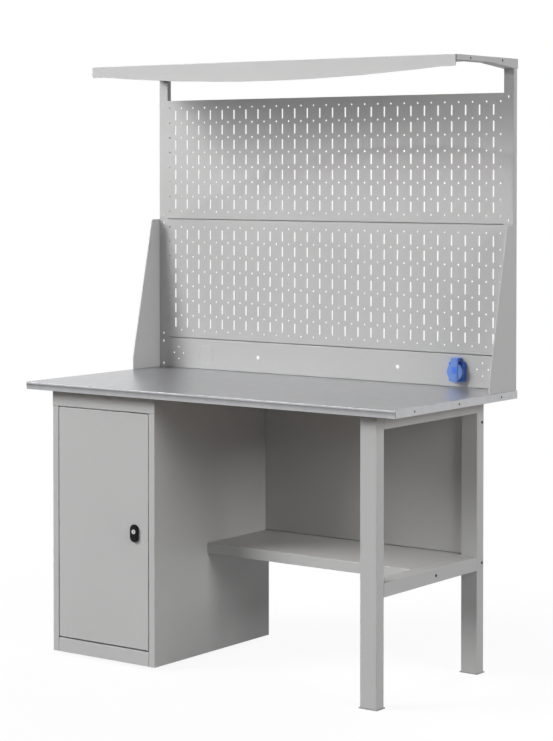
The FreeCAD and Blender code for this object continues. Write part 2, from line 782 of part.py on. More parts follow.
def build_posts():
    t = D.post_sheet
    wide = D.post_width
    deep = D.post_depth
    for word, side in SIDES:
        x = LEFT + D.post_inset if side < 0 else RIGHT - D.post_inset - wide
        channel = prism(f"post_{word}_channel", (x, POST_FACE, TOP), "XY_Plane",
                        [[(ZERO, ZERO), (wide, ZERO), (wide, deep), (wide - t, deep), (wide - t, t),
                          (t, t), (t, deep), (ZERO, deep)]], ARM_SEAT_Z - TOP)
        ends = []
        for index, z in enumerate((TOP, ARM_SEAT_Z - D.post_plate)):
            ends.append(box(f"post_{word}_end_{index}", (x + t, POST_FACE + t, z),
                            (x + wide - t, BACK, z + D.post_plate)))
        half = D.post_slot / 2
        tools = []
        for name, low, height in SHEETS:
            for z in (low + D.mount_slot_edge, low + height - D.mount_slot_edge):
                centre = side * SLOT_X
                tools.append(box(f"post_{word}_{name}_slot", (centre - half, POST_FACE, z - half),
                                 (centre + half, POST_FACE + t, z + half)))
        node(f"{word}_post", cut(f"{word}_post", fuse(f"post_{word}_sheet", [channel] + ends), tools))


def folded_sheet(name, low, height):
    """Sheet in front of the posts, with returns at its top and bottom between the posts."""
    width = SHEET_RIGHT - SHEET_LEFT
    t = D.panel_sheet
    body = body_at(name, (SHEET_LEFT, PANEL_FACE, low))
    loops = [rectangle(ZERO, ZERO, width, height)]
    half_wide = D.mount_slot_width / 2
    half_long = D.mount_slot_length / 2
    for x in (D.mount_slot_inset, width - D.mount_slot_inset):
        for z in (D.mount_slot_edge, height - D.mount_slot_edge):
            loops.append(rectangle(x - half_wide, z - half_long, x + half_wide, z + half_long))
    pad(body, "XZ_Plane", loops, t)
    start = D.post_inset + D.post_width + D.panel_return_play - D.panel_inset
    for z in (ZERO, height - t):
        pad(body, "XZ_Plane", [rectangle(start, z, width - start, z + t)], D.panel_return, offset=t)
    return body


def build_pegboards():
    """Perforated panels: slots on the pitch, and the round holes at the ends of the top row."""
    t = D.panel_sheet
    for label, low in (("lower_pegboard", LOWER_LOW), ("upper_pegboard", UPPER_LOW)):
        body = folded_sheet(label, low, D.panel_height)
        width = SHEET_RIGHT - SHEET_LEFT
        span_x = D.hole_pitch * (D.hole_columns - 1)
        span_z = D.hole_pitch * (D.hole_rows - 1)
        first_x = (width - span_x) / 2
        first_z = (D.panel_height - span_z) / 2
        slot_x = first_x + D.hole_pitch / 2
        slot_z = first_z + D.hole_pitch / 2
        half_wide = D.slot_width / 2
        half_long = D.slot_length / 2
        slot = rectangle(slot_x - half_wide, slot_z - half_long, slot_x + half_wide, slot_z + half_long)
        first = body.newObject("PartDesign::Pocket", f"{label}_slot")
        first.Profile = sketch_on(body, "XZ_Plane", [slot])
        first.setExpression("Length", t.text)
        body.Tip = first
        corners = [(D.hole_radius, x, first_z + span_z) for x in (first_x, first_x + span_x)]
        rows = body.newObject("PartDesign::LinearPattern", f"{label}_slots")
        rows.Originals = [first]
        rows.Direction = (first.Profile[0], ["H_Axis"])
        rows.Direction2 = (first.Profile[0], ["V_Axis"])
        for key, count in (("", D.hole_columns - 1), ("2", D.hole_rows - 1)):
            setattr(rows, f"Mode{key}", "Spacing")
            rows.setExpression(f"Offset{key}", D.hole_pitch.text)
            rows.setExpression(f"Occurrences{key}", count.text)
        body.Tip = rows
        holes = body.newObject("PartDesign::Pocket", f"{label}_holes")
        holes.Profile = sketch_on(body, "XZ_Plane", [], corners)
        holes.setExpression("Length", t.text)
        body.Tip = holes
        node(label, body)


STRIP_Z = STRIP_LOW + D.strip_height / 2
SOCKET_Z = STRIP_Z - D.socket_drop
SOCKET_X = SHEET_RIGHT - D.socket_inset


def build_strip():
    t = D.panel_sheet
    body = folded_sheet("strip_body", STRIP_LOW, D.strip_height)
    tools = []
    fittings = ((SHEET_LEFT + D.fitting_left_inset, STRIP_Z),
                (SHEET_RIGHT - D.fitting_right_inset, STRIP_Z + D.fitting_rise))
    for index, (x, z) in enumerate(fittings):
        for dx, dz in ((-1, 0), (1, 0), (0, -1), (0, 1)):
            spot = (x + D.fitting_circle * dx, PANEL_FACE, z + D.fitting_circle * dz)
            tools.append(rod(f"fitting_hole_{index}", D.fitting_hole_radius, t, spot, "Y"))
    for x in (SHEET_LEFT + D.cable_hole_inset, SHEET_RIGHT - D.cable_hole_inset):
        tools.append(rod("cable_hole", D.cable_hole_radius, t, (x, PANEL_FACE, STRIP_Z), "Y"))
    half = D.housing_width / 2 + D.fit_clearance
    tools.append(box("socket_hole", (SOCKET_X - half, PANEL_FACE, SOCKET_Z - half),
                     (SOCKET_X + half, POST_FACE, SOCKET_Z + half)))
    x, y, z = (SHEET_LEFT + D.knockout_inset, PANEL_FACE, STRIP_Z)
    sides = D.knockout_sides
    disc = rod("knockout_disc", D.knockout_radius, t, (x, y, z), "Y", sides)
    core = rod("knockout_core", D.knockout_radius - D.knockout_slit, t, (x, y, z), "Y", sides)
    half = D.knockout_tab / 2
    reach = D.knockout_radius + D.knockout_slit
    bars = [box("knockout_bar_x", (x - reach, y, z - half), (x + reach, y + t, z + half)),
            box("knockout_bar_z", (x - half, y, z - reach), (x + half, y + t, z + reach))]
    tools.append(cut("knockout_slits", disc, [fuse("knockout_keep", [core] + bars)]))
    node("socket_strip", cut("socket_strip", body, tools))


def build_cheeks():
    for word, side in SIDES:
        x = LEFT + D.post_inset - D.cheek_sheet if side < 0 else RIGHT - D.post_inset
        plate = [
            (-D.cheek_depth, ZERO),
            (-D.cheek_rear_gap, ZERO),
            (-D.cheek_rear_gap, D.cheek_top),
            (D.cheek_chamfer - D.cheek_shoulder, D.cheek_top),
            (-D.cheek_shoulder, D.cheek_top - D.cheek_chamfer),
            (-D.cheek_depth, D.cheek_heel),
        ]
        cheek = prism(f"{word}_cheek", (x, BACK, TOP), "YZ_Plane", [plate], D.cheek_sheet)
        node(f"{word}_cheek", cheek)


# Canopy: folded cover with a bowed apron on two arms
def build_canopy():
    t = D.canopy_sheet
    width = D.worktop_width - 2 * D.canopy_inset
    depth = D.canopy_depth
    cover = body_at("canopy_body", (LEFT + D.canopy_inset, BACK - depth, D.canopy_top))
    half = width / 2 - D.apron_flat
    bow = (half * half + D.apron_sag * D.apron_sag) / (2 * D.apron_sag)
    r = D.apron_radius
    apron = [
        (ZERO, -D.apron_end + r, r),
        (r, -D.apron_end),
        (D.apron_flat, -D.apron_end, bow),
        (width - D.apron_flat, -D.apron_end),
        (width - r, -D.apron_end, r),
        (width, -D.apron_end + r),
        (width, ZERO),
        (ZERO, ZERO),
    ]
    pad(cover, "XZ_Plane", [apron], t)
    pad(cover, "XZ_Plane", [rectangle(ZERO, -t, width, ZERO)], depth)
    inset = D.arm_front_gap + t
    run = depth - inset
    for x in (t, width - 2 * t):
        flange = rectangle(x, -t - D.canopy_flange, x + t, -t)
        pad(cover, "XZ_Plane", [flange], run, offset=inset)
    node("canopy", cover)
    heads = []
    z = D.canopy_top - t - D.canopy_screw_drop
    for word, side in SIDES:
        for y in (BACK - D.canopy_screw_front, BACK - D.canopy_screw_rear):
            seat = (side * (RIGHT - D.canopy_inset), y, z)
            name = f"canopy_screw_{word}"
            heads.append(head(name, D.canopy_head_radius, D.canopy_head_height, seat, side))
    node("canopy_screws", compound("canopy_screws", heads))

    start = inset - depth
    under = D.canopy_top - t
    front_low = -D.arm_front_height
    rear_low = -D.arm_rear_height
    lower = [(start, front_low), (-D.arm_kink, front_low), (-D.arm_seat, rear_low), (ZERO, rear_low)]
    upper = [(y, z + t) for y, z in reversed(lower)]
    web = lower + [(ZERO, ZERO), (start, ZERO)]
    for word, side in SIDES:
        x = LEFT + D.canopy_inset if side < 0 else RIGHT - D.canopy_inset - D.arm_lip
        arm = body_at(f"arm_{word}_body", (x, BACK, under))
        web_x = ZERO if side < 0 else D.arm_lip - t
        pad(arm, "YZ_Plane", [lower + upper], D.arm_lip)
        pad(arm, "YZ_Plane", [web], t, offset=web_x)
        node(f"{word}_arm", arm)


# Socket: base with a well, contact insert, earth clips and a lid that closes by itself
BASE_FACE = PANEL_FACE - D.socket_depth
HINGE_Z = SOCKET_Z + D.hinge_rise
HINGE_Y = BASE_FACE - D.hinge_forward


def build_socket():
    half_x = D.socket_width / 2
    half_z = D.socket_height / 2
    sides = D.socket_sides
    base = body_at("socket_body", (SOCKET_X, BASE_FACE, SOCKET_Z))
    frame = rounded(-half_x, -half_z, half_x, half_z, D.socket_corner)
    pad(base, "XZ_Plane", [frame], D.socket_depth)
    wide = D.housing_width / 2
    housing = rectangle(-wide, -wide, wide, wide)
    pad(base, "XZ_Plane", [housing], D.housing_length, offset=D.socket_depth)
    knuckle = D.knuckle_width / 2 + D.hinge_gap
    outer = D.band_width / 2
    root_z = SOCKET_Z + half_z - D.socket_corner
    hinge_front = HINGE_Y - D.hinge_radius
    hinge_top = HINGE_Z + D.hinge_radius
    parts = [base]
    for side in (-1, 1):
        x = SOCKET_X + knuckle if side > 0 else SOCKET_X - outer
        width = outer - knuckle
        parts.append(box("ear", (x, hinge_front, HINGE_Z - D.hinge_radius),
                         (x + width, PANEL_FACE, hinge_top)))
        parts.append(box("ear_root", (x, BASE_FACE, root_z), (x + width, PANEL_FACE, HINGE_Z)))
    wall_y = HINGE_Y + D.hinge_radius + D.spring_seat
    parts.append(box("ear_wall", (SOCKET_X - knuckle, wall_y, root_z),
                     (SOCKET_X + knuckle, PANEL_FACE, hinge_top)))
    well = rod("well", D.well_radius, D.well_depth, (SOCKET_X, BASE_FACE, SOCKET_Z), "Y", sides)
    axle = (SOCKET_X - outer, HINGE_Y, HINGE_Z)
    ear_bore = hex_hole("ear_bore", D.ear_bore_radius, D.band_width, axle, "X")
    node("socket_base", cut("socket_base", fuse("socket_solid", parts), [well, ear_bore]))

    floor_y = BASE_FACE + D.well_depth - D.insert_thickness
    plate = rod("insert_plate", D.well_radius - D.insert_play, D.insert_thickness,
                (SOCKET_X, floor_y, SOCKET_Z), "Y", sides)
    span = D.contact_spacing / 2
    contacts = [hex_hole("contact", D.contact_radius, D.insert_thickness, (x, floor_y, SOCKET_Z), "Y")
                for x in (SOCKET_X - span, SOCKET_X + span)]
    node("socket_insert", cut("socket_insert", plate, contacts))

    strips = []
    rim = D.well_radius - D.clip_sheet
    half = D.clip_strip / 2
    for low in (SOCKET_Z - rim, SOCKET_Z + rim - D.clip_sheet):
        strips.append(box("earth_clip", (SOCKET_X - half, floor_y - D.clip_reach, low),
                          (SOCKET_X + half, floor_y, low + D.clip_sheet)))
    node("socket_earth_clips", compound("socket_earth_clips", strips))

    lid_back = BASE_FACE - D.lid_gap
    lid_front = lid_back - D.lid_thickness
    disc = rod("lid_disc", D.lid_radius, D.lid_thickness, (SOCKET_X, lid_front, SOCKET_Z), "Y", sides)
    ridge = box("lid_ridge", (SOCKET_X - outer, lid_front - D.band_proud, SOCKET_Z - D.band_drop),
                (SOCKET_X + outer, lid_back, SOCKET_Z + D.band_drop))
    half = D.knuckle_width / 2
    middle = (SOCKET_X - half, HINGE_Y, HINGE_Z)
    eye = rod("lid_eye", D.hinge_radius, D.knuckle_width, middle, "X", sides)
    neck = box("lid_neck", (SOCKET_X - half, hinge_front, SOCKET_Z), (SOCKET_X + half, lid_back, HINGE_Z))
    bore = rod("lid_bore", D.lid_pin_radius + D.running_clearance, D.knuckle_width, middle, "X")
    node("socket_lid", cut("socket_lid", fuse("lid_solid", [disc, ridge, eye, neck]), [bore]))
    node("socket_lid_pin", rod("socket_lid_pin", D.lid_pin_radius, D.band_width, axle, "X"))

    wing = D.spring_width / 2
    tall = D.spring_height / 2
    leaf = box("socket_lid_spring", (SOCKET_X - wing, wall_y - D.spring_sheet, HINGE_Z - tall),
               (SOCKET_X + wing, wall_y, HINGE_Z + tall))
    node("socket_lid_spring", leaf)


build_worktop()
build_cabinet()
build_door()
build_lock()
build_leg_frame()
build_posts()
build_pegboards()
build_strip()
build_cheeks()
build_canopy()
build_socket()
doc.recompute()

faults = [item.Name for item in doc.Objects if {"Invalid", "Error"} & set(item.State)]
for item in NODES:
    if item.Shape.isNull() or not item.Shape.isValid():
        faults.append(item.Label)
if faults:
    raise RuntimeError(f"objects that did not build: {faults}")
os.makedirs("parts", exist_ok=True)
for item in NODES:
    item.Shape.exportStep(f"parts/{item.Label}.step")
print(len(NODES), "sub-parts")
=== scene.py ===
# %% [markdown]
# # A workbench with a pegboard back wall
#
# The CAD frame gives every piece of this bench its true size and place. This lesson dresses
# the frame: the perforated panels, the socket, the lock and the screws are modelled again with
# more detail, every piece gets a finish made of shader nodes, and a camera and soft lamps show
# it as a catalogue picture would.

import json
import math

import bmesh
import bpy
from mathutils import Matrix, Vector


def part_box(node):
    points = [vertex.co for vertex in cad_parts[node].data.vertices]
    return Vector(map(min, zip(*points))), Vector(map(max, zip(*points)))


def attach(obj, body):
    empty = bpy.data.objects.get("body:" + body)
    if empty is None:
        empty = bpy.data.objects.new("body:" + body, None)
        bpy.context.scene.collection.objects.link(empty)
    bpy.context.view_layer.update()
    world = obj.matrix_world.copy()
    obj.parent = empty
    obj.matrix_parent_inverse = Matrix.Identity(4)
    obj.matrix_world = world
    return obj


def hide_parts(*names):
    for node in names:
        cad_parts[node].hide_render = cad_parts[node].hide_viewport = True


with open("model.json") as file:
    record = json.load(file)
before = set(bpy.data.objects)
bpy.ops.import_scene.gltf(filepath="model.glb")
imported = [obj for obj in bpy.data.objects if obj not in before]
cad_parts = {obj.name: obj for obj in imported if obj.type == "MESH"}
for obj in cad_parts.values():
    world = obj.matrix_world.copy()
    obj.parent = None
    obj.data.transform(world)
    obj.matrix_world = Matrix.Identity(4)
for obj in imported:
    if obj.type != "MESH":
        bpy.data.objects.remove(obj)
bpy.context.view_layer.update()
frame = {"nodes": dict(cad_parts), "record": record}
MM = 0.001
print("CAD nodes:", len(frame["nodes"]))

# %% [markdown]
# ## The camera
#
# The picture was taken from the front right, at about eye height, with a long lens held nearly
# level. The verticals stay nearly upright because the lens is shifted down rather than tilted.
# The same place, turn and shift give the same perspective here, so edges can be compared.

# %% Camera
IMAGE_HEIGHT_PX = 741
FOCAL_PX = 2147.97
CENTRE_ABOVE_MIDDLE_PX = 143.34
SENSOR = 36
CAMERA_PLACE = (3.9889, -5.3558, 1.5349)
CAMERA_DIP = 0.0262
CAMERA_TURN = 0.6355
FARTHEST_SEEN = 60

camera_data = bpy.data.cameras.new("catalogue_camera")
camera_data.sensor_width = SENSOR
camera_data.lens = SENSOR * FOCAL_PX / IMAGE_HEIGHT_PX
camera_data.shift_y = -CENTRE_ABOVE_MIDDLE_PX / IMAGE_HEIGHT_PX
camera_data.clip_end = FARTHEST_SEEN
camera = bpy.data.objects.new("catalogue_camera", camera_data)
camera.location = CAMERA_PLACE
camera.rotation_euler = (math.pi / 2 - CAMERA_DIP, 0, CAMERA_TURN)
bpy.context.scene.collection.objects.link(camera)
bpy.context.scene.camera = camera
print("lens", round(camera_data.lens, 1), "mm")

# %% [markdown]
# ## Shader maths as Python
#
# A finish is a small graph of nodes. Wiring each node by hand hides the idea, so one class
# wraps a socket: adding or multiplying two wrapped sockets adds the Math node that does it. A
# second class holds the whole graph, and its method make adds any other node.

# %% Wrapped socket


class Wire:
    """A socket of a shader graph that can be used in sums and products."""

    def __init__(self, graph, socket):
        self.graph = graph
        self.socket = socket

    def join(self, operation, first, second):
        return self.graph.make("ShaderNodeMath", {"operation": operation}, {0: first, 1: second})

    def __add__(self, other):
        return self.join("ADD", self, other)

    def __sub__(self, other):
        return self.join("SUBTRACT", self, other)

    def __rsub__(self, other):
        return self.join("SUBTRACT", other, self)

    def __mul__(self, other):
        return self.join("MULTIPLY", self, other)

    def highest(self, other):
        return self.join("MAXIMUM", self, other)

    __radd__ = __add__
    __rmul__ = __mul__


print("socket maths: add, subtract, multiply, highest")

# %% Node graph
NOISE_MIDDLE = (0.3, 0.7)
FINE_DETAIL = 2.0
CLOUD_DETAIL = 3.0


class Graph:
    """The node tree of one material or of the world."""

    def __init__(self, tree):
        self.tree = tree
        tree.nodes.clear()

    def make(self, kind, settings=None, inputs=None, output=0):
        """Add a node: its settings first, then the values or links of its sockets."""
        node = self.tree.nodes.new(kind)
        for key, value in (settings or {}).items():
            setattr(node, key, value)
        for key, value in (inputs or {}).items():
            if isinstance(value, Wire):
                self.tree.links.new(value.socket, node.inputs[key])
            else:
                node.inputs[key].default_value = value
        return Wire(self, node.outputs[output]) if node.outputs else None

    def place(self):
        return self.make("ShaderNodeTexCoord", output="Object")

    def coordinate(self, axis):
        """One of the three Object coordinates, in metres."""
        return self.make("ShaderNodeSeparateXYZ", None, {0: self.place()}, output=axis)

    def ray(self, kind):
        """One for light rays of this kind, zero for all others."""
        return self.make("ShaderNodeLightPath", output=f"Is {kind} Ray")

    def noise(self, spots, detail=FINE_DETAIL, vector=None):
        """Soft noise, with its scale in spots per metre."""
        vector = vector or self.place()
        return self.make("ShaderNodeTexNoise", None, {"Vector": vector, "Scale": spots, "Detail": detail})

    def ramp(self, factor, low, high):
        """Stretch the part of a value between low and high to 0 to 1."""
        return self.make("ShaderNodeMapRange", None, {"Value": factor, "From Min": low, "From Max": high})

    def contrast(self, noise):
        """Stretch the middle of a noise, where most of its values lie, to 0 to 1."""
        return self.ramp(noise, *NOISE_MIDDLE)

    def mix(self, factor, first, second):
        """Blend two colours; their sockets on the node follow those for numbers and vectors."""
        return self.make("ShaderNodeMix", {"data_type": "RGBA"}, {0: factor, 6: first, 7: second}, output=2)

    def grey(self, colour):
        return self.make("ShaderNodeRGBToBW", None, {0: colour})

    def bump(self, height, strength, distance):
        return self.make("ShaderNodeBump", None,
                         {"Height": height, "Strength": strength, "Distance": distance})

    def surface(self, **inputs):
        """The finishing shader and the output."""
        named = {key.replace("_", " "): value for key, value in inputs.items()}
        shader = self.make("ShaderNodeBsdfPrincipled", None, named)
        self.make("ShaderNodeOutputMaterial", None, {"Surface": shader})


def new_material(name):
    material = bpy.data.materials.new(name)
    material.use_nodes = True
    print("material:", name)
    return material, Graph(material.node_tree)


def rgb(red, green, blue):
    return (red, green, blue, 1.0)


# %% [markdown]
# ## Powder coat
#
# The sheet steel is powder coated in a light grey. Baked powder isn't flat: it has a fine
# orange peel, so a noise of about a millimetre drives the bump, and slow noise shifts the
# shade and the gloss a little from place to place. An image could hold this too, but noise on
# Object coordinates has no seams and keeps its true size on every piece.

# %% Powder coat
PAINT_DARK = rgb(0.500, 0.500, 0.498)
PAINT_LIGHT = rgb(0.530, 0.530, 0.528)
PAINT_SPECK = rgb(0.545, 0.545, 0.543)
PAINT_ROUGHNESS = 0.40
PAINT_DULLED_BY_CLOUD = 0.10
PAINT_DULLED_BY_GRAIN = 0.06
PAINT_CLOUDS = 3
PEEL_SPOTS = 900
PEEL_RANGE = (0.35, 0.75)
PEEL_STRENGTH = 0.12
PEEL_HEIGHT = 0.4 * MM


def powder_coat():
    material, graph = new_material("grey_paint")
    cloud = graph.noise(PAINT_CLOUDS, detail=CLOUD_DETAIL)
    grain = graph.noise(PEEL_SPOTS)
    tint = graph.mix(graph.contrast(cloud), PAINT_DARK, PAINT_LIGHT)
    speckle = graph.mix(graph.ramp(grain, *PEEL_RANGE), tint, PAINT_SPECK)
    roughness = PAINT_ROUGHNESS + cloud * PAINT_DULLED_BY_CLOUD + grain * PAINT_DULLED_BY_GRAIN
    graph.surface(Base_Color=speckle, Roughness=roughness,
                  Normal=graph.bump(grain, PEEL_STRENGTH, PEEL_HEIGHT))
    return material


FINISH = {"grey_paint": powder_coat()}

# %% [markdown]
# ## Galvanised worktop
#
# The worktop is zinc-coated sheet: a metal with a bluish tone and a soft shine that mirrors
# the back wall at a low angle. The zinc freezes in large faint crystals, which a Voronoi
# texture gives, and rolling leaves streaks along the sheet, which is noise pulled long. The
# front under the lip is rubbed bright and mirrors the grey floor ahead, and the lip itself is
# duller: two masks, worked out from the Object coordinates, say where.

# %% Front of the worktop
LIP_HEIGHT = 3.0 * MM
LIP_STEP = 0.6 * MM
LIP_DEPTH = 2 * MM
NOSE_DEPTH = 6 * MM
MASK_BLUR = 0.5 * MM


def front_masks(graph):
    """Where the front under the lip is, and where the lip is, with soft ends."""
    low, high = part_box("worktop_skin")
    upper = graph.ramp(graph.coordinate("Z"), high.z - LIP_HEIGHT - LIP_STEP, high.z - LIP_HEIGHT)
    ahead = graph.coordinate("Y")
    nose_end = low.y + NOSE_DEPTH
    lip_end = low.y + LIP_DEPTH
    nose = 1 - graph.ramp(ahead, nose_end - MASK_BLUR, nose_end + MASK_BLUR)
    lip = 1 - graph.ramp(ahead, lip_end - MASK_BLUR, lip_end + MASK_BLUR)
    return nose * (1 - upper), lip * upper


# %% Galvanised sheet
ZINC_DARK = rgb(0.465, 0.468, 0.482)
ZINC_LIGHT = rgb(0.530, 0.533, 0.547)
ZINC_METALLIC = 0.65
ZINC_ROUGHNESS = 0.22
ZINC_DULLED_BY_STREAK = 0.10
ZINC_DULLED_BY_CLOUD = 0.06
NOSE_POLISH = 0.21
LIP_DULLNESS = 0.30
SPANGLE_SPOTS = 45
SPANGLE_SMOOTHNESS = 0.6
SPANGLE_SHARE = 0.35
STREAK_SCALE = (4.0, 260.0, 60.0)
STREAK_SHARE = 0.35
STREAK_STRENGTH = 0.04
STREAK_HEIGHT = 0.3 * MM
ZINC_CLOUDS = 4
CLOUD_SHARE = 0.30


def galvanised():
    material, graph = new_material("galvanised")
    voronoi = {"Vector": graph.place(), "Scale": SPANGLE_SPOTS, "Smoothness": SPANGLE_SMOOTHNESS}
    crystals = graph.make("ShaderNodeTexVoronoi", {"feature": "SMOOTH_F1"}, voronoi, output="Color")
    long_place = graph.make("ShaderNodeMapping", None, {"Vector": graph.place(), "Scale": STREAK_SCALE})
    streak = graph.noise(1.0, detail=CLOUD_DETAIL, vector=long_place)
    cloud = graph.noise(ZINC_CLOUDS, detail=CLOUD_DETAIL)
    shade = graph.grey(crystals) * SPANGLE_SHARE + streak * STREAK_SHARE + cloud * CLOUD_SHARE
    tint = graph.mix(graph.contrast(shade), ZINC_DARK, ZINC_LIGHT)
    nose, lip = front_masks(graph)
    worn = ZINC_ROUGHNESS + streak * ZINC_DULLED_BY_STREAK + cloud * ZINC_DULLED_BY_CLOUD
    roughness = worn - nose * NOSE_POLISH + lip * LIP_DULLNESS
    metallic = ZINC_METALLIC + nose * (1 - ZINC_METALLIC)
    graph.surface(Base_Color=tint, Metallic=metallic, Roughness=roughness,
                  Normal=graph.bump(streak, STREAK_STRENGTH, STREAK_HEIGHT))
    return material


FINISH["galvanised"] = galvanised()

# %% [markdown]
# ## Small metal, plastic and wood
#
# Screws, pins and lock parts are plated or blackened steel with fine turning marks. The
# feet and the lock shield are moulded plastic with a fine leather grain. The socket is
# glossy coloured plastic, and the core of the worktop is pressed wood chips. Pieces of one
# kind differ only in colour and shine, so one function makes each kind from a short table.

# %% Plated and blackened steel
TURNING_MARKS = 1800
MARK_STRENGTH = 0.08
MARK_HEIGHT = 0.2 * MM
STEEL_CLOUDS = 60
STEEL_DULLED_BY_MARKS = 0.12
STEEL_DULLED_BY_CLOUD = 0.08
# Name, darkest and lightest tint, metallic, roughness
STEELS = (("zinc_steel", rgb(0.52, 0.53, 0.54), rgb(0.66, 0.67, 0.68), 1.0, 0.26),
          ("dark_steel", rgb(0.045, 0.045, 0.047), rgb(0.085, 0.085, 0.088), 0.4, 0.38),
          ("lock_chrome", rgb(0.78, 0.78, 0.78), rgb(0.86, 0.86, 0.86), 0.6, 0.26))


def plated_steel(name, low, high, metallic, roughness):
    material, graph = new_material(name)
    marks = graph.noise(TURNING_MARKS)
    cloud = graph.noise(STEEL_CLOUDS, detail=CLOUD_DETAIL)
    tint = graph.mix(graph.contrast(cloud), low, high)
    worn = roughness + marks * STEEL_DULLED_BY_MARKS + cloud * STEEL_DULLED_BY_CLOUD
    graph.surface(Base_Color=tint, Metallic=metallic, Roughness=worn,
                  Normal=graph.bump(marks, MARK_STRENGTH, MARK_HEIGHT))
    return material


for name, *values in STEELS:
    FINISH[name] = plated_steel(name, *values)

# %% Moulded plastic
GRAIN_SPOTS = 1400
GRAIN_HEIGHT = 0.3 * MM
PLASTIC_CLOUDS = 40
PLASTIC_DULLED_BY_GRAIN = 0.10
PLASTIC_DULLED_BY_CLOUD = 0.05
# Name, darkest and lightest tint, roughness, strength of the grain, strength of the mirror image
PLASTICS = (("black_plastic", rgb(0.006, 0.006, 0.006), rgb(0.010, 0.010, 0.010), 0.40, 0.15, 0.12),
            ("grey_plastic", rgb(0.34, 0.34, 0.34), rgb(0.40, 0.40, 0.40), 0.42, 0.15, 0.5),
            ("blue_base", rgb(0.075, 0.195, 0.800), rgb(0.088, 0.220, 0.860), 0.32, 0.05, 0.3),
            ("blue_lid", rgb(0.135, 0.262, 0.660), rgb(0.155, 0.292, 0.710), 0.30, 0.05, 0.5),
            ("insert_plastic", rgb(0.035, 0.045, 0.100), rgb(0.050, 0.060, 0.130), 0.35, 0.08, 0.5))


def moulded(name, low, high, roughness, grain_strength, mirror):
    material, graph = new_material(name)
    grain = graph.noise(GRAIN_SPOTS)
    cloud = graph.noise(PLASTIC_CLOUDS, detail=CLOUD_DETAIL)
    tint = graph.mix(graph.contrast(cloud), low, high)
    worn = roughness + grain * PLASTIC_DULLED_BY_GRAIN + cloud * PLASTIC_DULLED_BY_CLOUD
    graph.surface(Base_Color=tint, Roughness=worn, Specular_IOR_Level=mirror,
                  Normal=graph.bump(grain, grain_strength, GRAIN_HEIGHT))
    return material


for name, *values in PLASTICS:
    FINISH[name] = moulded(name, *values)

# %% Pressed wood
WOOD_DARK = rgb(0.30, 0.20, 0.11)
WOOD_LIGHT = rgb(0.55, 0.42, 0.27)
WOOD_ROUGHNESS = 0.72
WOOD_DULLED_BY_DUST = 0.15
DUST_SHARE = 0.3
CHIP_SPOTS = 320
DUST_SPOTS = 1500
CHIP_STRENGTH = 0.3
CHIP_HEIGHT = 0.6 * MM


def pressed_wood():
    material, graph = new_material("board_wood")
    chips = graph.make("ShaderNodeTexVoronoi", None, {"Vector": graph.place(), "Scale": CHIP_SPOTS},
                       output="Color")
    tone = graph.grey(chips)
    dust = graph.noise(DUST_SPOTS, detail=CLOUD_DETAIL)
    tint = graph.mix(tone * (1 - DUST_SHARE) + dust * DUST_SHARE, WOOD_DARK, WOOD_LIGHT)
    graph.surface(Base_Color=tint, Roughness=WOOD_ROUGHNESS + dust * WOOD_DULLED_BY_DUST,
                  Normal=graph.bump(tone + dust, CHIP_STRENGTH, CHIP_HEIGHT))
    return material


FINISH["board_wood"] = pressed_wood()

# %% Finishes on the frame
RECORD_SLOT = {part["node"]: part["material_slot"] for part in frame["record"]["subparts"]}

for node, finish in RECORD_SLOT.items():
    mesh = frame["nodes"][node].data
    mesh.materials.clear()
    mesh.materials.append(FINISH[finish])
print("nodes with a finish:", len(RECORD_SLOT))

# %% [markdown]
# ## Room and light
#
# The catalogue picture has a white ground and big soft lamps: a main one in front, above and
# to the left, and one on the right. A narrow lamp far in front lifts the tool panels, and one
# behind the bench shows its back when the view is turned. A large area lamp gives a soft edge
# to the shadow under the worktop. World and floor are white where the camera looks at them.
# For reflections the world is white only to the rear and the floor turns grey far in front,
# and for all other light both are dim, so it is the lamps that shape the bench.

# %% World
WHITE = rgb(1, 1, 1)
ROOM_LIGHT = 0.08
WHITE_TO_REAR = 0.5


def white_room():
    """A dim room for light, a white backdrop for the camera and for reflections of the rear."""
    world = bpy.data.worlds.new("white_room")
    world.use_nodes = True
    bpy.context.scene.world = world
    graph = Graph(world.node_tree)
    way = graph.make("ShaderNodeTexCoord", output="Generated")
    rear = graph.make("ShaderNodeSeparateXYZ", None, {0: way}, output="Y")
    mirrored = graph.ray("Glossy") * graph.ramp(rear, 0.0, WHITE_TO_REAR)
    look = graph.ray("Camera").highest(mirrored).highest(graph.ray("Transmission"))
    light = graph.make("ShaderNodeBackground", None, {"Color": WHITE, "Strength": ROOM_LIGHT})
    white = graph.make("ShaderNodeBackground", None, {"Color": WHITE, "Strength": 1.0})
    both = graph.make("ShaderNodeMixShader", None, {0: look, 1: light, 2: white})
    graph.make("ShaderNodeOutputWorld", None, {"Surface": both})
    print("world:", world.name)


white_room()

# %% Floor
FLOOR_REACH = 30
FLOOR_SEEN = rgb(0.95, 0.95, 0.95)
FLOOR_BOUNCE = rgb(0.32, 0.32, 0.32)
WHITE_NEAR = 0.92
WHITE_FADE = (0.8, 2.2)
MIRROR_FAR = 0.20
MIRROR_NEAR = 0.95
MIRROR_FADE = (-4.0, -1.4)


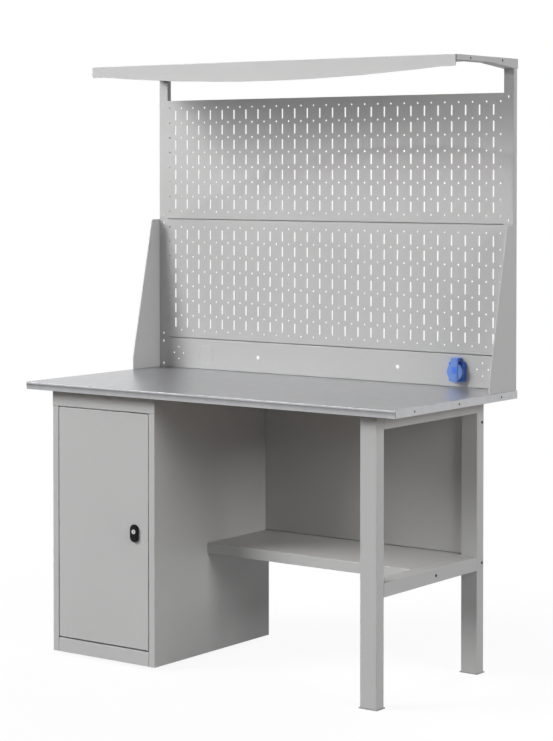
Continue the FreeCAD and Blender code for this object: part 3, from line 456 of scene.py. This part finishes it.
def floor_white():
    """White with a faint shadow for the camera, grey far ahead for reflections, else a dim matt."""
    material, graph = new_material("floor_white")
    seen = graph.ray("Camera")
    away = graph.make("ShaderNodeVectorMath", {"operation": "LENGTH"}, {0: graph.place()}, output="Value")
    bright = WHITE_NEAR + graph.ramp(away, *WHITE_FADE) * (1 - WHITE_NEAR)
    mirrored = MIRROR_FAR + graph.ramp(graph.coordinate("Y"), *MIRROR_FADE) * (MIRROR_NEAR - MIRROR_FAR)
    white = seen * bright + graph.ray("Glossy") * mirrored
    shade = graph.mix(seen, FLOOR_BOUNCE, FLOOR_SEEN)
    matt = graph.make("ShaderNodeBsdfDiffuse", None, {"Color": shade})
    glow = graph.make("ShaderNodeEmission", None, {"Color": WHITE, "Strength": 1.0})
    both = graph.make("ShaderNodeMixShader", None, {0: white, 1: matt, 2: glow})
    graph.make("ShaderNodeOutputMaterial", None, {"Surface": both})
    return material


def pale_floor():
    mesh = bpy.data.meshes.new("floor")
    sheet = bmesh.new()
    bmesh.ops.create_grid(sheet, x_segments=1, y_segments=1, size=FLOOR_REACH)
    sheet.to_mesh(mesh)
    sheet.free()
    floor = bpy.data.objects.new("floor", mesh)
    bpy.context.scene.collection.objects.link(floor)
    mesh.materials.append(floor_white())


pale_floor()

# %% Lamps
# Name, place, target, width and height in metres, watts, cone in degrees
LAMPS = (("main_lamp", (-5.4, -5.8, 5.6), (0.2, 0, 0.2), (5.0, 5.0), 131, 60),
         ("right_lamp", (6.8, -1.4, 3.3), (0, 0, 0.6), (3.0, 3.0), 250, 180),
         ("panel_lamp", (0.0, -9.0, 2.1), (0, 0.3, 1.68), (3.2, 0.3), 1.3, 6),
         ("rear_lamp", (-0.3, 6.0, 4.4), (0, 0.3, 1.0), (3.0, 3.0), 200, 180))


def soft_lamp(name, place, target, size, power, spread):
    """Area lamp: place, target, width and height in metres, power in watts, cone in degrees."""
    data = bpy.data.lights.new(name, "AREA")
    data.shape = "RECTANGLE"
    data.size, data.size_y = size
    data.energy = power
    data.spread = math.radians(spread)
    lamp = bpy.data.objects.new(name, data)
    lamp.location = place
    aim = Vector(target) - Vector(place)
    lamp.rotation_euler = aim.to_track_quat("-Z", "Y").to_euler()
    bpy.context.scene.collection.objects.link(lamp)


for lamp in LAMPS:
    soft_lamp(*lamp)
bpy.context.scene.view_settings.view_transform = "Standard"
print("lamps:", len(LAMPS))

# %% [markdown]
# ## Soft edges on folded steel
#
# Sheet steel is bent over a tool, so its outer folds are round, and a punched rim is broken
# by the powder. The frame's meshes have sharp edges. Each one is copied, its triangles are
# welded and its flat faces joined, and the bevel operator then rounds the outer creases: a
# wide bevel where two broad faces meet, and a fine one on the rims.

# %% Store a piece
CREASE = math.radians(40)


def store(name, sheet, finish, body, nodes, smooth=False):
    """Turn a bmesh into a piece that rides on a body and stands for CAD nodes."""
    mesh = bpy.data.meshes.new(name)
    sheet.to_mesh(mesh)
    sheet.free()
    if smooth:
        mesh.polygons.foreach_set("use_smooth", [True] * len(mesh.polygons))
        mesh.set_sharp_from_angle(angle=CREASE)
    mesh.materials.append(FINISH[finish])
    piece = bpy.data.objects.new(name, mesh)
    bpy.context.scene.collection.objects.link(piece)
    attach(piece, body)
    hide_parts(*nodes)
    print(name, "faces:", len(mesh.polygons))


# %% Welded copies and their creases
WELD = 1e-6
FLAT = math.radians(1)


def merged_copy(node):
    """Copy of a node's mesh with its triangles welded and its flat faces joined."""
    sheet = bmesh.new()
    sheet.from_mesh(frame["nodes"][node].data)
    bmesh.ops.remove_doubles(sheet, verts=sheet.verts, dist=WELD)
    bmesh.ops.dissolve_limit(sheet, angle_limit=FLAT, verts=sheet.verts, edges=sheet.edges)
    return sheet


def run_from(edge, face):
    """How far a face reaches from one of its edges."""
    start = edge.verts[0].co
    line = (edge.verts[1].co - start).normalized()
    offsets = [vert.co - start for vert in face.verts]
    return max((offset - line * offset.dot(line)).length for offset in offsets)


def creases(sheet, reach, shortest=0):
    """Outer creases long enough, and with two faces that both reach far enough, to take a round."""
    return [edge for edge in sheet.edges
            if edge.is_manifold and edge.is_convex and edge.calc_face_angle() > CREASE
            and edge.calc_length() > shortest
            and min(run_from(edge, face) for face in edge.link_faces) > reach]


def round_edges(sheet, edges, radius, steps, clamp=True):
    bmesh.ops.bevel(sheet, geom=edges, offset=radius, offset_type="OFFSET", segments=steps, profile=0.5,
                    affect="EDGES", material=-1, clamp_overlap=clamp)


print("a crease is sharper than", round(math.degrees(CREASE)), "degrees")

# %% Cabinet, legs, shelf, arms, canopy, cheeks and door
FOLD = 1.8 * MM
FOLD_REACH = 4
FOLD_STEPS = 3
RIM = 0.4 * MM
RIM_REACH = 2.2
RIM_STEPS = 1
SEAM_RIM = 0.5 * MM
CHEEK_RIM = 2 * RIM
SHORTEST_ROUNDED = 6 * MM
SEAMED = ("cabinet_side_left", "cabinet_side_right", "cabinet_floor", "cabinet_top")
FOLDED = ("lower_shelf", "back_panel", "canopy", "left_arm", "right_arm", "lower_rail", "upper_rail")
PLAIN = ("front_leg", "rear_leg", "front_foot", "rear_foot")
CHEEKS = ("left_cheek", "right_cheek")


def soft_copy(node, fold, rim, body="frame"):
    """A node's shape with round folds and broken rims, kept inside the node's own box."""
    sheet = merged_copy(node)
    if fold:
        folds = creases(sheet, FOLD_REACH * fold, SHORTEST_ROUNDED)
        round_edges(sheet, folds, fold, FOLD_STEPS, clamp=False)
    rims = creases(sheet, RIM_REACH * rim, SHORTEST_ROUNDED)
    round_edges(sheet, rims, rim, RIM_STEPS, clamp=False)
    low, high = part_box(node)
    for vert in sheet.verts:
        vert.co = [min(max(spot, least), most) for spot, least, most in zip(vert.co, low, high)]
    store(node + "_soft", sheet, RECORD_SLOT[node], body, [node])


for node in SEAMED:
    soft_copy(node, FOLD, SEAM_RIM)
for node in FOLDED:
    soft_copy(node, FOLD, RIM)
for node in PLAIN:
    soft_copy(node, 0, RIM)
for node in CHEEKS:
    soft_copy(node, 0, CHEEK_RIM)
soft_copy("door", 0, RIM, body="door")

# %% [markdown]
# ## Lip of the worktop
#
# The zinc sheet ends in a thin rolled lip, and the front below it sits a little further back,
# so a soft shadow line runs under the lip. The copy is cut into level bands with bisect_plane
# and the bands under the lip are moved back along a gentle curve, the lowest furthest. The
# board inside the sheet is cut and moved in the same way, so it stays behind the sheet.

# %% Worktop skin and board
SET_BACK = 1.5 * MM
CURVE = 2.2 * MM
BANDS = 6


def set_back(node, smooth):
    """Copy of a worktop piece whose front is moved back under the lip."""
    sheet = merged_copy(node)
    low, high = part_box("worktop_skin")
    top = high.z - LIP_HEIGHT
    front = top - LIP_STEP - low.z
    for level in [top] + [low.z + front * band / BANDS for band in range(1, BANDS + 1)]:
        bmesh.ops.bisect_plane(sheet, geom=sheet.verts[:] + sheet.edges[:] + sheet.faces[:], dist=WELD,
                               plane_co=(0, 0, level), plane_no=(0, 0, 1))
    for vert in sheet.verts:
        if vert.co.y < low.y + NOSE_DEPTH and vert.co.z < top - WELD:
            vert.co.y += SET_BACK + CURVE * ((top - vert.co.z) / (top - low.z)) ** 2
    store(node + "_lipped", sheet, RECORD_SLOT[node], "frame", [node], smooth)


set_back("worktop_skin", True)
set_back("worktop_board", False)

# %% [markdown]
# ## Perforated panels
#
# The tool panels are sheet steel with round holes on a square pitch and an upright slot in
# the middle of each square. A boolean would be slow and ragged, so the sheet is made of
# cells: each cell is one square of the pitch with a quarter of a hole at its corners and a
# slot in its middle, filled by triangle_fill. The cells are welded, the long edges are spun
# into a rounded fold and the sheet gets its thickness last.

# %% Outlines of holes
MOUNTS = {mount["name"]: mount for mount in frame["record"]["mounts"]}
HOLE_RADIUS = MOUNTS["upper_panel_holes"]["dims"]["hole_r_mm"] * MM
HOLE_STEPS = 4
HOLE_PITCH = 50 * MM
SLOT_LENGTH = 33 * MM
SLOT_WIDTH = 5.5 * MM
SLOT_END_STEPS = 5
MOUNT_INSET = 16.5 * MM
MOUNT_EDGE = 12 * MM
MOUNT_WIDTH = 4.5 * MM
MOUNT_LENGTH = 8 * MM


def arc(centre, radius, start, end, steps):
    """Points on an arc, angles in quarter turns."""
    quarter = math.pi / 2
    angles = [quarter * (start + (end - start) * step / steps) for step in range(steps + 1)]
    x, z = centre
    return [(x + radius * math.cos(angle), z + radius * math.sin(angle)) for angle in angles]


def long_hole(x, z, width, length):
    """Outline of an upright slot with round ends."""
    reach = (length - width) / 2
    top = arc((x, z + reach), width / 2, 0, 2, SLOT_END_STEPS)
    return top + arc((x, z - reach), width / 2, 2, 4, SLOT_END_STEPS)


def round_hole(x, z, radius, steps):
    return arc((x, z), radius, 0, 4, steps)[:-1]


def rectangle(x0, x1, z0, z1):
    return [(x0, z0), (x1, z0), (x1, z1), (x0, z1)]


def quarter_cut(x0, x1, z0, z1, holed):
    """Rectangle whose holed corners are cut by a quarter of a round hole."""
    points = []
    for turn, (spot, cut) in enumerate(zip(rectangle(x0, x1, z0, z1), holed)):
        points += list(reversed(arc(spot, HOLE_RADIUS, turn, turn + 1, HOLE_STEPS))) if cut else [spot]
    return points


def mount_holes(low, high):
    """The four slots that hang a sheet on the posts."""
    return [long_hole(x, z, MOUNT_WIDTH, MOUNT_LENGTH)
            for x in (low.x + MOUNT_INSET, high.x - MOUNT_INSET)
            for z in (low.z + MOUNT_EDGE, high.z - MOUNT_EDGE)]


print("points round a slot:", len(long_hole(0, 0, SLOT_WIDTH, SLOT_LENGTH)))

# %% Filled cells


def closed_loop(sheet, points, y):
    verts = [sheet.verts.new((x, y, z)) for x, z in points]
    return [sheet.edges.new((verts[index - 1], verts[index])) for index in range(len(verts))]


def fill_cell(sheet, outline, holes, y):
    """Fill an outline at a depth, apart from its holes."""
    edges = closed_loop(sheet, outline, y)
    for hole in holes:
        edges += closed_loop(sheet, hole, y)
    bmesh.ops.triangle_fill(sheet, use_beauty=True, use_dissolve=False, edges=edges, normal=(0, -1, 0))


# %% Folded rims
SHEET = 1.2 * MM
BEND = 1.0 * MM
BEND_STEPS = 4
SEAM = 0.5 * MM
FOLD_TAKES = BEND + SHEET - SEAM
RETURN_DEPTH = 11 * MM


def fold_line(z, inward):
    """Height where a sheet's flat ends and its fold begins: the seam between sheets stays narrow."""
    return z + inward * FOLD_TAKES


def rim_edges(sheet, z):
    """The open edges along one height."""
    return [edge for edge in sheet.edges if edge.is_boundary
            and all(abs(vert.co.z - z) < WELD for vert in edge.verts)]


def split_rim(sheet, z, spots):
    """Cut the straight rim where the return starts and ends."""
    for x in spots:
        for edge in rim_edges(sheet, z):
            first, second = edge.verts
            if min(first.co.x, second.co.x) < x - WELD and max(first.co.x, second.co.x) > x + WELD:
                bmesh.utils.edge_split(edge, first, (x - first.co.x) / (second.co.x - first.co.x))
                break


def pull(sheet, edges, way):
    """Extrude edges along a vector and give the new ones."""
    made = bmesh.ops.extrude_edge_only(sheet, edges=edges)["geom"]
    verts = {item for item in made if isinstance(item, bmesh.types.BMVert)}
    bmesh.ops.translate(sheet, verts=list(verts), vec=way)
    return [item for item in made if isinstance(item, bmesh.types.BMEdge) and verts.issuperset(item.verts)]


def fold_back(sheet, y, z, up, reach, lip):
    """Spin the rim at height z into a round fold, run it back and turn up a lip at its end."""
    rim = rim_edges(sheet, z)
    inner = [edge for edge in rim if all(abs(vert.co.x) < reach + WELD for vert in edge.verts)]
    outer = [edge for edge in rim if edge not in inner]
    geometry = inner + list({vert for edge in inner for vert in edge.verts})
    spun = bmesh.ops.spin(sheet, geom=geometry, cent=(0, y + BEND, z), axis=(1, 0, 0),
                          angle=-up * math.pi / 2, steps=BEND_STEPS, use_duplicate=False)
    last = [item for item in spun["geom_last"] if isinstance(item, bmesh.types.BMEdge)]
    back = pull(sheet, last, (0, RETURN_DEPTH, 0))
    if lip:
        pull(sheet, back, (0, 0, up * lip))
    pull(sheet, outer, (0, 0, up * FOLD_TAKES))


print("a fold takes", round(FOLD_TAKES / MM, 2), "mm of the height")

# %% Sheets on the posts
POST_GAP = 2 * MM


def hung_sheet(node, cells, lip):
    """Sheet from cells of an outline and its holes, with a return between the posts at top and bottom."""
    low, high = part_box(node)
    reach = -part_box("left_post")[1].x - POST_GAP
    y = low.y + SHEET
    sheet = bmesh.new()
    for outline, holes in cells:
        fill_cell(sheet, outline, holes, y)
    bmesh.ops.remove_doubles(sheet, verts=sheet.verts, dist=WELD)
    for z, up in ((fold_line(low.z, 1), -1), (fold_line(high.z, -1), 1)):
        split_rim(sheet, z, (-reach, reach))
        fold_back(sheet, y, z, up, reach, lip if up > 0 else 0)
    bmesh.ops.recalc_face_normals(sheet, faces=sheet.faces)
    facing = sum(face.normal.y * face.calc_area() for face in sheet.faces)
    if facing < 0:
        bmesh.ops.reverse_faces(sheet, faces=sheet.faces)
    bmesh.ops.solidify(sheet, geom=sheet.faces, thickness=SHEET)
    bmesh.ops.recalc_face_normals(sheet, faces=sheet.faces)
    store(node + "_sheet", sheet, "grey_paint", "frame", [node])


# %% The two pegboards
RETURN_LIP = 3.0 * MM


def pegboard_cells(node):
    """Cells of the pitch with a margin all round, and a slot to hang by in each corner cell."""
    low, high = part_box(node)
    columns = round((high.x - low.x) / HOLE_PITCH - 2)
    rows = round((high.z - low.z) / HOLE_PITCH - 1)
    first_x = (low.x + high.x - HOLE_PITCH * columns) / 2
    first_z = (low.z + high.z - HOLE_PITCH * rows) / 2
    xs = [low.x] + [first_x + HOLE_PITCH * index for index in range(columns + 1)] + [high.x]
    zs = [fold_line(low.z, 1)] + [first_z + HOLE_PITCH * index for index in range(rows + 1)]
    zs.append(fold_line(high.z, -1))
    mounts = mount_holes(low, high)
    cells = []
    for i, (x0, x1) in enumerate(zip(xs, xs[1:])):
        for j, (z0, z1) in enumerate(zip(zs, zs[1:])):
            holed = [0 < a < len(xs) - 1 and 0 < b < len(zs) - 1
                     for a, b in ((i, j), (i + 1, j), (i + 1, j + 1), (i, j + 1))]
            holes = []
            if all(holed):
                holes.append(long_hole((x0 + x1) / 2, (z0 + z1) / 2, SLOT_WIDTH, SLOT_LENGTH))
            elif sum(holed) == 1:
                holes.append(mounts[(2 if i else 0) + (1 if j else 0)])
            cells.append((quarter_cut(x0, x1, z0, z1, holed), holes))
    return cells


hung_sheet("upper_pegboard", pegboard_cells("upper_pegboard"), 0)
hung_sheet("lower_pegboard", pegboard_cells("lower_pegboard"), RETURN_LIP)

# %% [markdown]
# ## Socket strip
#
# Under the panels runs a plain strip for electrics: two diamonds of fitting holes, two cable
# holes, a square hole for the socket and a knock-out, which is a disc cut nearly free by four
# slits. It has few holes, so one triangle_fill makes the whole face.

# %% Strip
FITTING_STEPS = 16
CABLE_STEPS = 24
KNOCKOUT_INSET = 200.5 * MM
KNOCKOUT_RADIUS = 30 * MM
KNOCKOUT_SLIT = 1 * MM
KNOCKOUT_TAB = 0.06
KNOCKOUT_STEPS = 10
SOCKET_HOLE_HALF = 22.1 * MM


def spot_of(mount):
    """X and Z of a mount, its place on the face of the strip."""
    return MOUNTS[mount]["pos_m"][::2]


def slit(centre, turn):
    """A quarter of the ring round a knock-out, short of the tabs that hold the disc."""
    start = turn + KNOCKOUT_TAB
    end = turn + 1 - KNOCKOUT_TAB
    inner = arc(centre, KNOCKOUT_RADIUS - KNOCKOUT_SLIT, start, end, KNOCKOUT_STEPS)
    return arc(centre, KNOCKOUT_RADIUS, start, end, KNOCKOUT_STEPS) + list(reversed(inner))


def strip_cells():
    """The strip as one cell with all its holes."""
    low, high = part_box("socket_strip")
    holes = mount_holes(low, high)
    for name in ("left_fitting_holes", "right_fitting_holes"):
        dims = MOUNTS[name]["dims"]
        for x, z in arc(spot_of(name), dims["pcd_mm"] / 2 * MM, 0, 3, 3):
            holes.append(round_hole(x, z, dims["hole_r_mm"] * MM, FITTING_STEPS))
    for name in ("left_cable_hole", "right_cable_hole"):
        x, z = spot_of(name)
        holes.append(round_hole(x, z, MOUNTS[name]["dims"]["r_mm"] * MM, CABLE_STEPS))
    insert_low, insert_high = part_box("socket_insert")
    middle = (insert_low + insert_high) / 2
    holes.append(rectangle(middle.x - SOCKET_HOLE_HALF, middle.x + SOCKET_HOLE_HALF,
                           middle.z - SOCKET_HOLE_HALF, middle.z + SOCKET_HOLE_HALF))
    knockout = (low.x + KNOCKOUT_INSET, spot_of("left_cable_hole")[1])
    holes += [slit(knockout, turn) for turn in range(4)]
    return [(rectangle(low.x, high.x, fold_line(low.z, 1), fold_line(high.z, -1)), holes)]


hung_sheet("socket_strip", strip_cells(), RETURN_LIP)

# %% [markdown]
# ## Socket with a hinged lid
#
# The socket is two mouldings: a square base with a round well, and a round lid with a flat
# band across it that ends in the hinge. The base is a softened copy. A thin dark disc in each
# corner is painted shade: it stands for the dark deep hole where a screw sits. The lid is made
# new from a turned disc, a turned eye for the pin and extruded bars with bevelled edges: the
# band, a tab to lift it by and a web. It rides on the lid's own body, so it swings with the
# joint. The plain field on the band is one more thin bar, in the blue of the base.

# %% Socket base
BASE_CORNER = 5 * MM
BASE_CORNER_STEPS = 5
BASE_RIM = 1.2 * MM
BASE_RIM_STEPS = 2


def socket_base():
    """Softened copy of the base, with a wide round on its upper front edge."""
    sheet = merged_copy("socket_base")
    low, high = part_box("socket_base")
    upper_front = [edge for edge in creases(sheet, BASE_CORNER)
                   if all(vert.co.z > high.z - WELD and vert.co.y < low.y + WELD for vert in edge.verts)]
    round_edges(sheet, upper_front, BASE_CORNER, BASE_CORNER_STEPS)
    round_edges(sheet, creases(sheet, BASE_CORNER), BASE_RIM, BASE_RIM_STEPS)
    store("socket_base_soft", sheet, "blue_base", "frame", ["socket_base"])


socket_base()

# %% Turned parts and bars
BAR_REACH = 2
BAR_STEPS = 3


def turned(profile, steps, closed=False):
    """Spin a profile of radius and height pairs round the Z axis."""
    part = bmesh.new()
    verts = [part.verts.new((radius, 0, height)) for radius, height in profile]
    edges = [part.edges.new(pair) for pair in zip(verts, verts[1:])]
    if closed:
        edges.append(part.edges.new((verts[-1], verts[0])))
    bmesh.ops.spin(part, geom=verts + edges, cent=(0, 0, 0), axis=(0, 0, 1), angle=2 * math.pi, steps=steps,
                   use_merge=True)
    bmesh.ops.remove_doubles(part, verts=part.verts, dist=WELD)
    bmesh.ops.recalc_face_normals(part, faces=part.faces)
    return part


def add_part(sheet, part, matrix):
    """Move a part to its place and join it to a sheet."""
    bmesh.ops.transform(part, matrix=matrix, verts=part.verts)
    mesh = bpy.data.meshes.new("part")
    part.to_mesh(mesh)
    part.free()
    sheet.from_mesh(mesh)
    bpy.data.meshes.remove(mesh)


def along(axis, place):
    """Matrix that lays a turned part along an axis at a place."""
    return Matrix.Translation(place) @ Vector(axis).to_track_quat("Z", "Y").to_matrix().to_4x4()


def bar(sheet, outline, x0, x1, radius, matrix=Matrix.Identity(4)):
    """Extrude an outline of Y and Z pairs along X, round its edges and move it to its place."""
    part = bmesh.new()
    face = part.faces.new([part.verts.new((x0, y, z)) for y, z in outline])
    made = bmesh.ops.extrude_face_region(part, geom=[face], use_keep_orig=True)["geom"]
    moved = [item for item in made if isinstance(item, bmesh.types.BMVert)]
    bmesh.ops.translate(part, verts=moved, vec=(x1 - x0, 0, 0))
    bmesh.ops.recalc_face_normals(part, faces=part.faces)
    round_edges(part, creases(part, BAR_REACH * radius), radius, BAR_STEPS)
    add_part(sheet, part, matrix)


# %% Painted shade in the screw recesses of the base
RECESS_RADIUS = 2.4 * MM
RECESS_X = 20.5 * MM
RECESS_Z = 24 * MM
RECESS_PROUD = 0.15 * MM
RECESS_STEPS = 24
BASE_DEPTH = 10 * MM


def painted_recess_shade():
    """Dark discs on the four corners of the base, painted shade for the deep holes of its screws."""
    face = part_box("socket_strip")[0].y - BASE_DEPTH
    insert_low, insert_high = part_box("socket_insert")
    middle = (insert_low + insert_high) / 2
    sheet = bmesh.new()
    for x in (middle.x - RECESS_X, middle.x + RECESS_X):
        for z in (middle.z - RECESS_Z, middle.z + RECESS_Z):
            # Painted shade: each dark disc stands for the shade deep in a screw hole.
            disc = turned(rectangle(0, RECESS_RADIUS, 0, RECESS_PROUD), RECESS_STEPS)
            add_part(sheet, disc, along((0, -1, 0), (x, face, z)))
    store("socket_base_painted_recess_shade", sheet, "insert_plastic", "frame", ["socket_base"])


painted_recess_shade()

# %% Lid disc, band and lift tab
LID_RADIUS = 28.5 * MM
LID_DEPTH = 13 * MM
LID_ROUND = 2.4 * MM
LID_ROUND_STEPS = 4
LID_STEPS = 72
BAND_PROUD = 1.8 * MM
BAND_LOW = 4 * MM
BAND_ROUND = 0.8 * MM
SHOULDER_DROP = 3 * MM
COVER = 3 * MM
TAB_DROP = 4 * MM
TAB_STEPS = 8
lid_low, lid_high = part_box("socket_lid")
pin_low, pin_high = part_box("socket_lid_pin")
pin = (pin_low + pin_high) / 2
half_band = (pin_high.x - pin_low.x) / 2
lid_z = lid_low.z + LID_RADIUS
lid_back = lid_low.y + LID_DEPTH


def lid_disc(lid):
    """Round disc with a rounded front edge."""
    deep = LID_DEPTH - BAND_PROUD
    edge = arc((LID_RADIUS - LID_ROUND, deep - LID_ROUND), LID_ROUND, 0, 1, LID_ROUND_STEPS)
    profile = [(0, 0), (LID_RADIUS, 0)] + edge + [(0, deep)]
    add_part(lid, turned(profile, LID_STEPS), along((0, -1, 0), (pin.x, lid_back, lid_z)))


def lid_band(lid):
    """Flat band up to the hinge, thin where it covers the hinge."""
    front = lid_low.y
    behind = front + COVER
    bottom = lid_z - BAND_LOW
    shoulder = lid_z + LID_RADIUS - SHOULDER_DROP
    outline = [(lid_back, bottom), (front, bottom), (front, lid_high.z), (behind, lid_high.z),
               (behind, shoulder), (lid_back, shoulder)]
    bar(lid, outline, pin.x - half_band, pin.x + half_band, BAND_ROUND)


def lift_tab(lid):
    """Tab with a round end below the disc, drawn flat and turned to face the front."""
    turn = math.asin(half_band / LID_RADIUS) / (math.pi / 2)
    outline = arc((0, lid_z - TAB_DROP), LID_RADIUS, 3 - turn, 3 + turn, TAB_STEPS)
    outline += [(half_band, lid_z), (-half_band, lid_z)]
    aside = Matrix.Translation((pin.x, 0, 0)) @ Matrix.Rotation(math.pi / 2, 4, "Z")
    bar(lid, outline, lid_low.y, lid_back, BAND_ROUND, aside)


# %% Lid hinge and field
KNUCKLE = 6.8 * MM
EYE_BORE = 1.8 * MM
EYE_RADIUS = 6 * MM
EYE_STEPS = 32
WEB_SUNK = 1 * MM
WEB_SHORT = 4 * MM
WEB_HALF = 3 * MM
WEB_ROUND = 0.3 * MM
FIELD_PROUD = 0.3 * MM
FIELD_SUNK = 1 * MM
FIELD_BELOW = 5 * MM
FIELD_ABOVE = 16 * MM
FIELD_HALF = 8.5 * MM
FIELD_ROUND = 0.2 * MM


def lid_hinge(lid):
    """Eye round the pin and the web that joins it to the band."""
    eye = turned(rectangle(EYE_BORE, EYE_RADIUS, -KNUCKLE, KNUCKLE), EYE_STEPS, closed=True)
    add_part(lid, eye, along((1, 0, 0), pin))
    web = rectangle(lid_low.y + WEB_SUNK, pin.y - WEB_SHORT, pin.z - WEB_HALF, pin.z + WEB_HALF)
    bar(lid, web, pin.x - KNUCKLE, pin.x + KNUCKLE, WEB_ROUND)


def lid_field():
    """Thin plain plate on the band."""
    sheet = bmesh.new()
    front = lid_low.y - FIELD_PROUD
    outline = rectangle(front, lid_low.y + FIELD_SUNK, lid_z - FIELD_BELOW, lid_z + FIELD_ABOVE)
    bar(sheet, outline, pin.x - FIELD_HALF, pin.x + FIELD_HALF, FIELD_ROUND)
    store("socket_lid_field", sheet, "blue_base", "lid", ["socket_lid"])


lid = bmesh.new()
lid_disc(lid)
lid_band(lid)
lift_tab(lid)
lid_hinge(lid)
store("socket_lid_round", lid, "blue_lid", "lid", ["socket_lid"], smooth=True)
lid_field()

# %% [markdown]
# ## Lock
#
# The lock is an oval black shield with a round cylinder plug in it. The shield is a copy with
# a wide round on its front edge, so it catches a soft line of light. The plug keeps its key
# slot and turns on its own joint. A thin dark bar on its face is painted shade for the inside
# of the slot, which would be too small to show from afar.

# %% Lock shield, plug and painted shade of the key slot
SHIELD_ROUND = 1.4 * MM
PLUG_ROUND = 0.5 * MM
ROUND_REACH = 2.5
ROUND_STEPS = 3
KEYWAY_PROUD = 0.1 * MM
KEYWAY_SUNK = 1 * MM
KEYWAY_HALF_WIDTH = 0.7 * MM
KEYWAY_HALF_HEIGHT = 3.6 * MM
KEYWAY_ROUND = 0.05 * MM


def round_copy(node, radius, body):
    """A small turned or moulded piece with one round on all its outer edges."""
    sheet = merged_copy(node)
    round_edges(sheet, creases(sheet, ROUND_REACH * radius), radius, ROUND_STEPS)
    store(node + "_soft", sheet, RECORD_SLOT[node], body, [node], smooth=True)


def painted_keyway_shade():
    """Dark bar over the key slot, painted shade for its inside, a hair proud of the plug's face."""
    low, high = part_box("lock_plug")
    middle = (low + high) / 2
    sheet = bmesh.new()
    outline = rectangle(low.y - KEYWAY_PROUD, low.y + KEYWAY_SUNK,
                        middle.z - KEYWAY_HALF_HEIGHT, middle.z + KEYWAY_HALF_HEIGHT)
    # Painted shade: the black bar stands for the dark inside the key slot.
    bar(sheet, outline, middle.x - KEYWAY_HALF_WIDTH, middle.x + KEYWAY_HALF_WIDTH, KEYWAY_ROUND)
    store("lock_plug_painted_keyway_shade", sheet, "black_plastic", "lock", ["lock_plug"])


round_copy("lock_escutcheon", SHIELD_ROUND, "door")
round_copy("lock_plug", PLUG_ROUND, "lock")
painted_keyway_shade()

# %% [markdown]
# ## Hem of the cheeks
#
# A bare sheet edge at arm height would cut, so the sloping front edge of each side plate is
# folded flat on itself. The hem is thicker than the sheet and catches a line of light. It is
# one bar, drawn from the edge face of the plate. It stands a hair in front of that face and
# ends a hair short of the outer side, because faces in one plane would shade each other.

# %% Hems
HEM_WIDTH = 3.6 * MM
HEM_DEPTH = 7 * MM
HEM_PROUD = 0.3 * MM
FACES_FRONT = -0.5


def hem(node):
    """Folded hem along the front edge of a cheek, thickened to the inside of the bench."""
    plate = merged_copy(node)
    plate.normal_update()
    low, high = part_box(node)
    inside = (high.x - HEM_WIDTH, high.x - HEM_PROUD)
    if low.x < 0:
        inside = (low.x + HEM_PROUD, low.x + HEM_WIDTH)
    sheet = bmesh.new()
    for face in plate.faces:
        if face.normal.y < FACES_FRONT:
            lower = min(face.verts, key=lambda vert: vert.co.z).co
            upper = max(face.verts, key=lambda vert: vert.co.z).co
            front = face.normal * HEM_PROUD
            deep = face.normal * -HEM_DEPTH
            corners = (lower + front, upper + front, upper + deep, lower + deep)
            bar(sheet, [(corner.y, corner.z) for corner in corners], *inside, RIM)
    plate.free()
    store(node + "_hem", sheet, RECORD_SLOT[node], "frame", [node])


for node in CHEEKS:
    hem(node)

# %% [markdown]
# ## Screw heads and feet
#
# The frame draws a screw as a plain six-sided stub. A real one is turned: a low dome with a
# round socket. One profile is spun for each head and laid on the steel where the stub is. The
# cabinet's feet are turned too, with a pad and a stem.

# %% Separate solids of a node


def islands(node):
    """Boxes round the separate solids of a node, in order of their lowest corners."""
    sheet = merged_copy(node)
    left = set(sheet.verts)
    boxes = []
    while left:
        grown = [left.pop()]
        for vert in grown:
            fresh = {edge.other_vert(vert) for edge in vert.link_edges} & left
            left -= fresh
            grown += fresh
        spots = [vert.co for vert in grown]
        corners = [[pick(spot[axis] for spot in spots) for axis in range(3)] for pick in (min, max)]
        boxes.append([Vector(corner) for corner in corners])
    sheet.free()
    print(node, "solids:", len(boxes))
    return sorted(boxes, key=lambda box: tuple(box[0]))


# %% Screw heads
HEAD_PROFILE = ((0, 0), (1, 0), (1, 0.35), (0.92, 0.68), (0.75, 0.9), (0.5, 1),
                (0.42, 0.9), (0.42, 0.3), (0, 0.3))
HEAD_HEIGHT_SHARE = 0.98
HEAD_STEPS = 24


def screw_heads(node):
    """A domed head with a round socket for each stub, facing away from the middle of the bench."""
    sheet = bmesh.new()
    for low, high in islands(node):
        middle = (low + high) / 2
        side = math.copysign(1, middle.x)
        radius = max(high.y - low.y, high.z - low.z) / 2
        tall = HEAD_HEIGHT_SHARE * (high.x - low.x)
        profile = [(radius * across, tall * up) for across, up in HEAD_PROFILE]
        seat = Vector((middle.x - side * (high.x - low.x) / 2, middle.y, middle.z))
        add_part(sheet, turned(profile, HEAD_STEPS), along((side, 0, 0), seat))
    store(node + "_turned", sheet, RECORD_SLOT[node], "frame", [node], smooth=True)


for node in ("worktop_edge_screws", "canopy_screws", "frame_bolts"):
    screw_heads(node)

# %% Cabinet feet
PAD_PROFILE = ((0, 0), (0.9, 0), (1, 0.2), (1, 0.8), (0.92, 1))
PAD_HEIGHT = 6 * MM
STEM_RADIUS = 5 * MM
FOOT_STEPS = 40


def cabinet_feet():
    """A round pad with a stem for each foot."""
    sheet = bmesh.new()
    for low, high in islands("cabinet_feet"):
        radius = (high.x - low.x) / 2
        top = high.z - low.z
        pad = [(radius * across, PAD_HEIGHT * up) for across, up in PAD_PROFILE]
        stem = [(STEM_RADIUS, PAD_HEIGHT), (STEM_RADIUS, top), (0, top)]
        spot = Vector(((low.x + high.x) / 2, (low.y + high.y) / 2, low.z))
        add_part(sheet, turned(pad + stem, FOOT_STEPS), Matrix.Translation(spot))
    store("cabinet_feet_turned", sheet, "black_plastic", "frame", ["cabinet_feet"], smooth=True)


cabinet_feet()
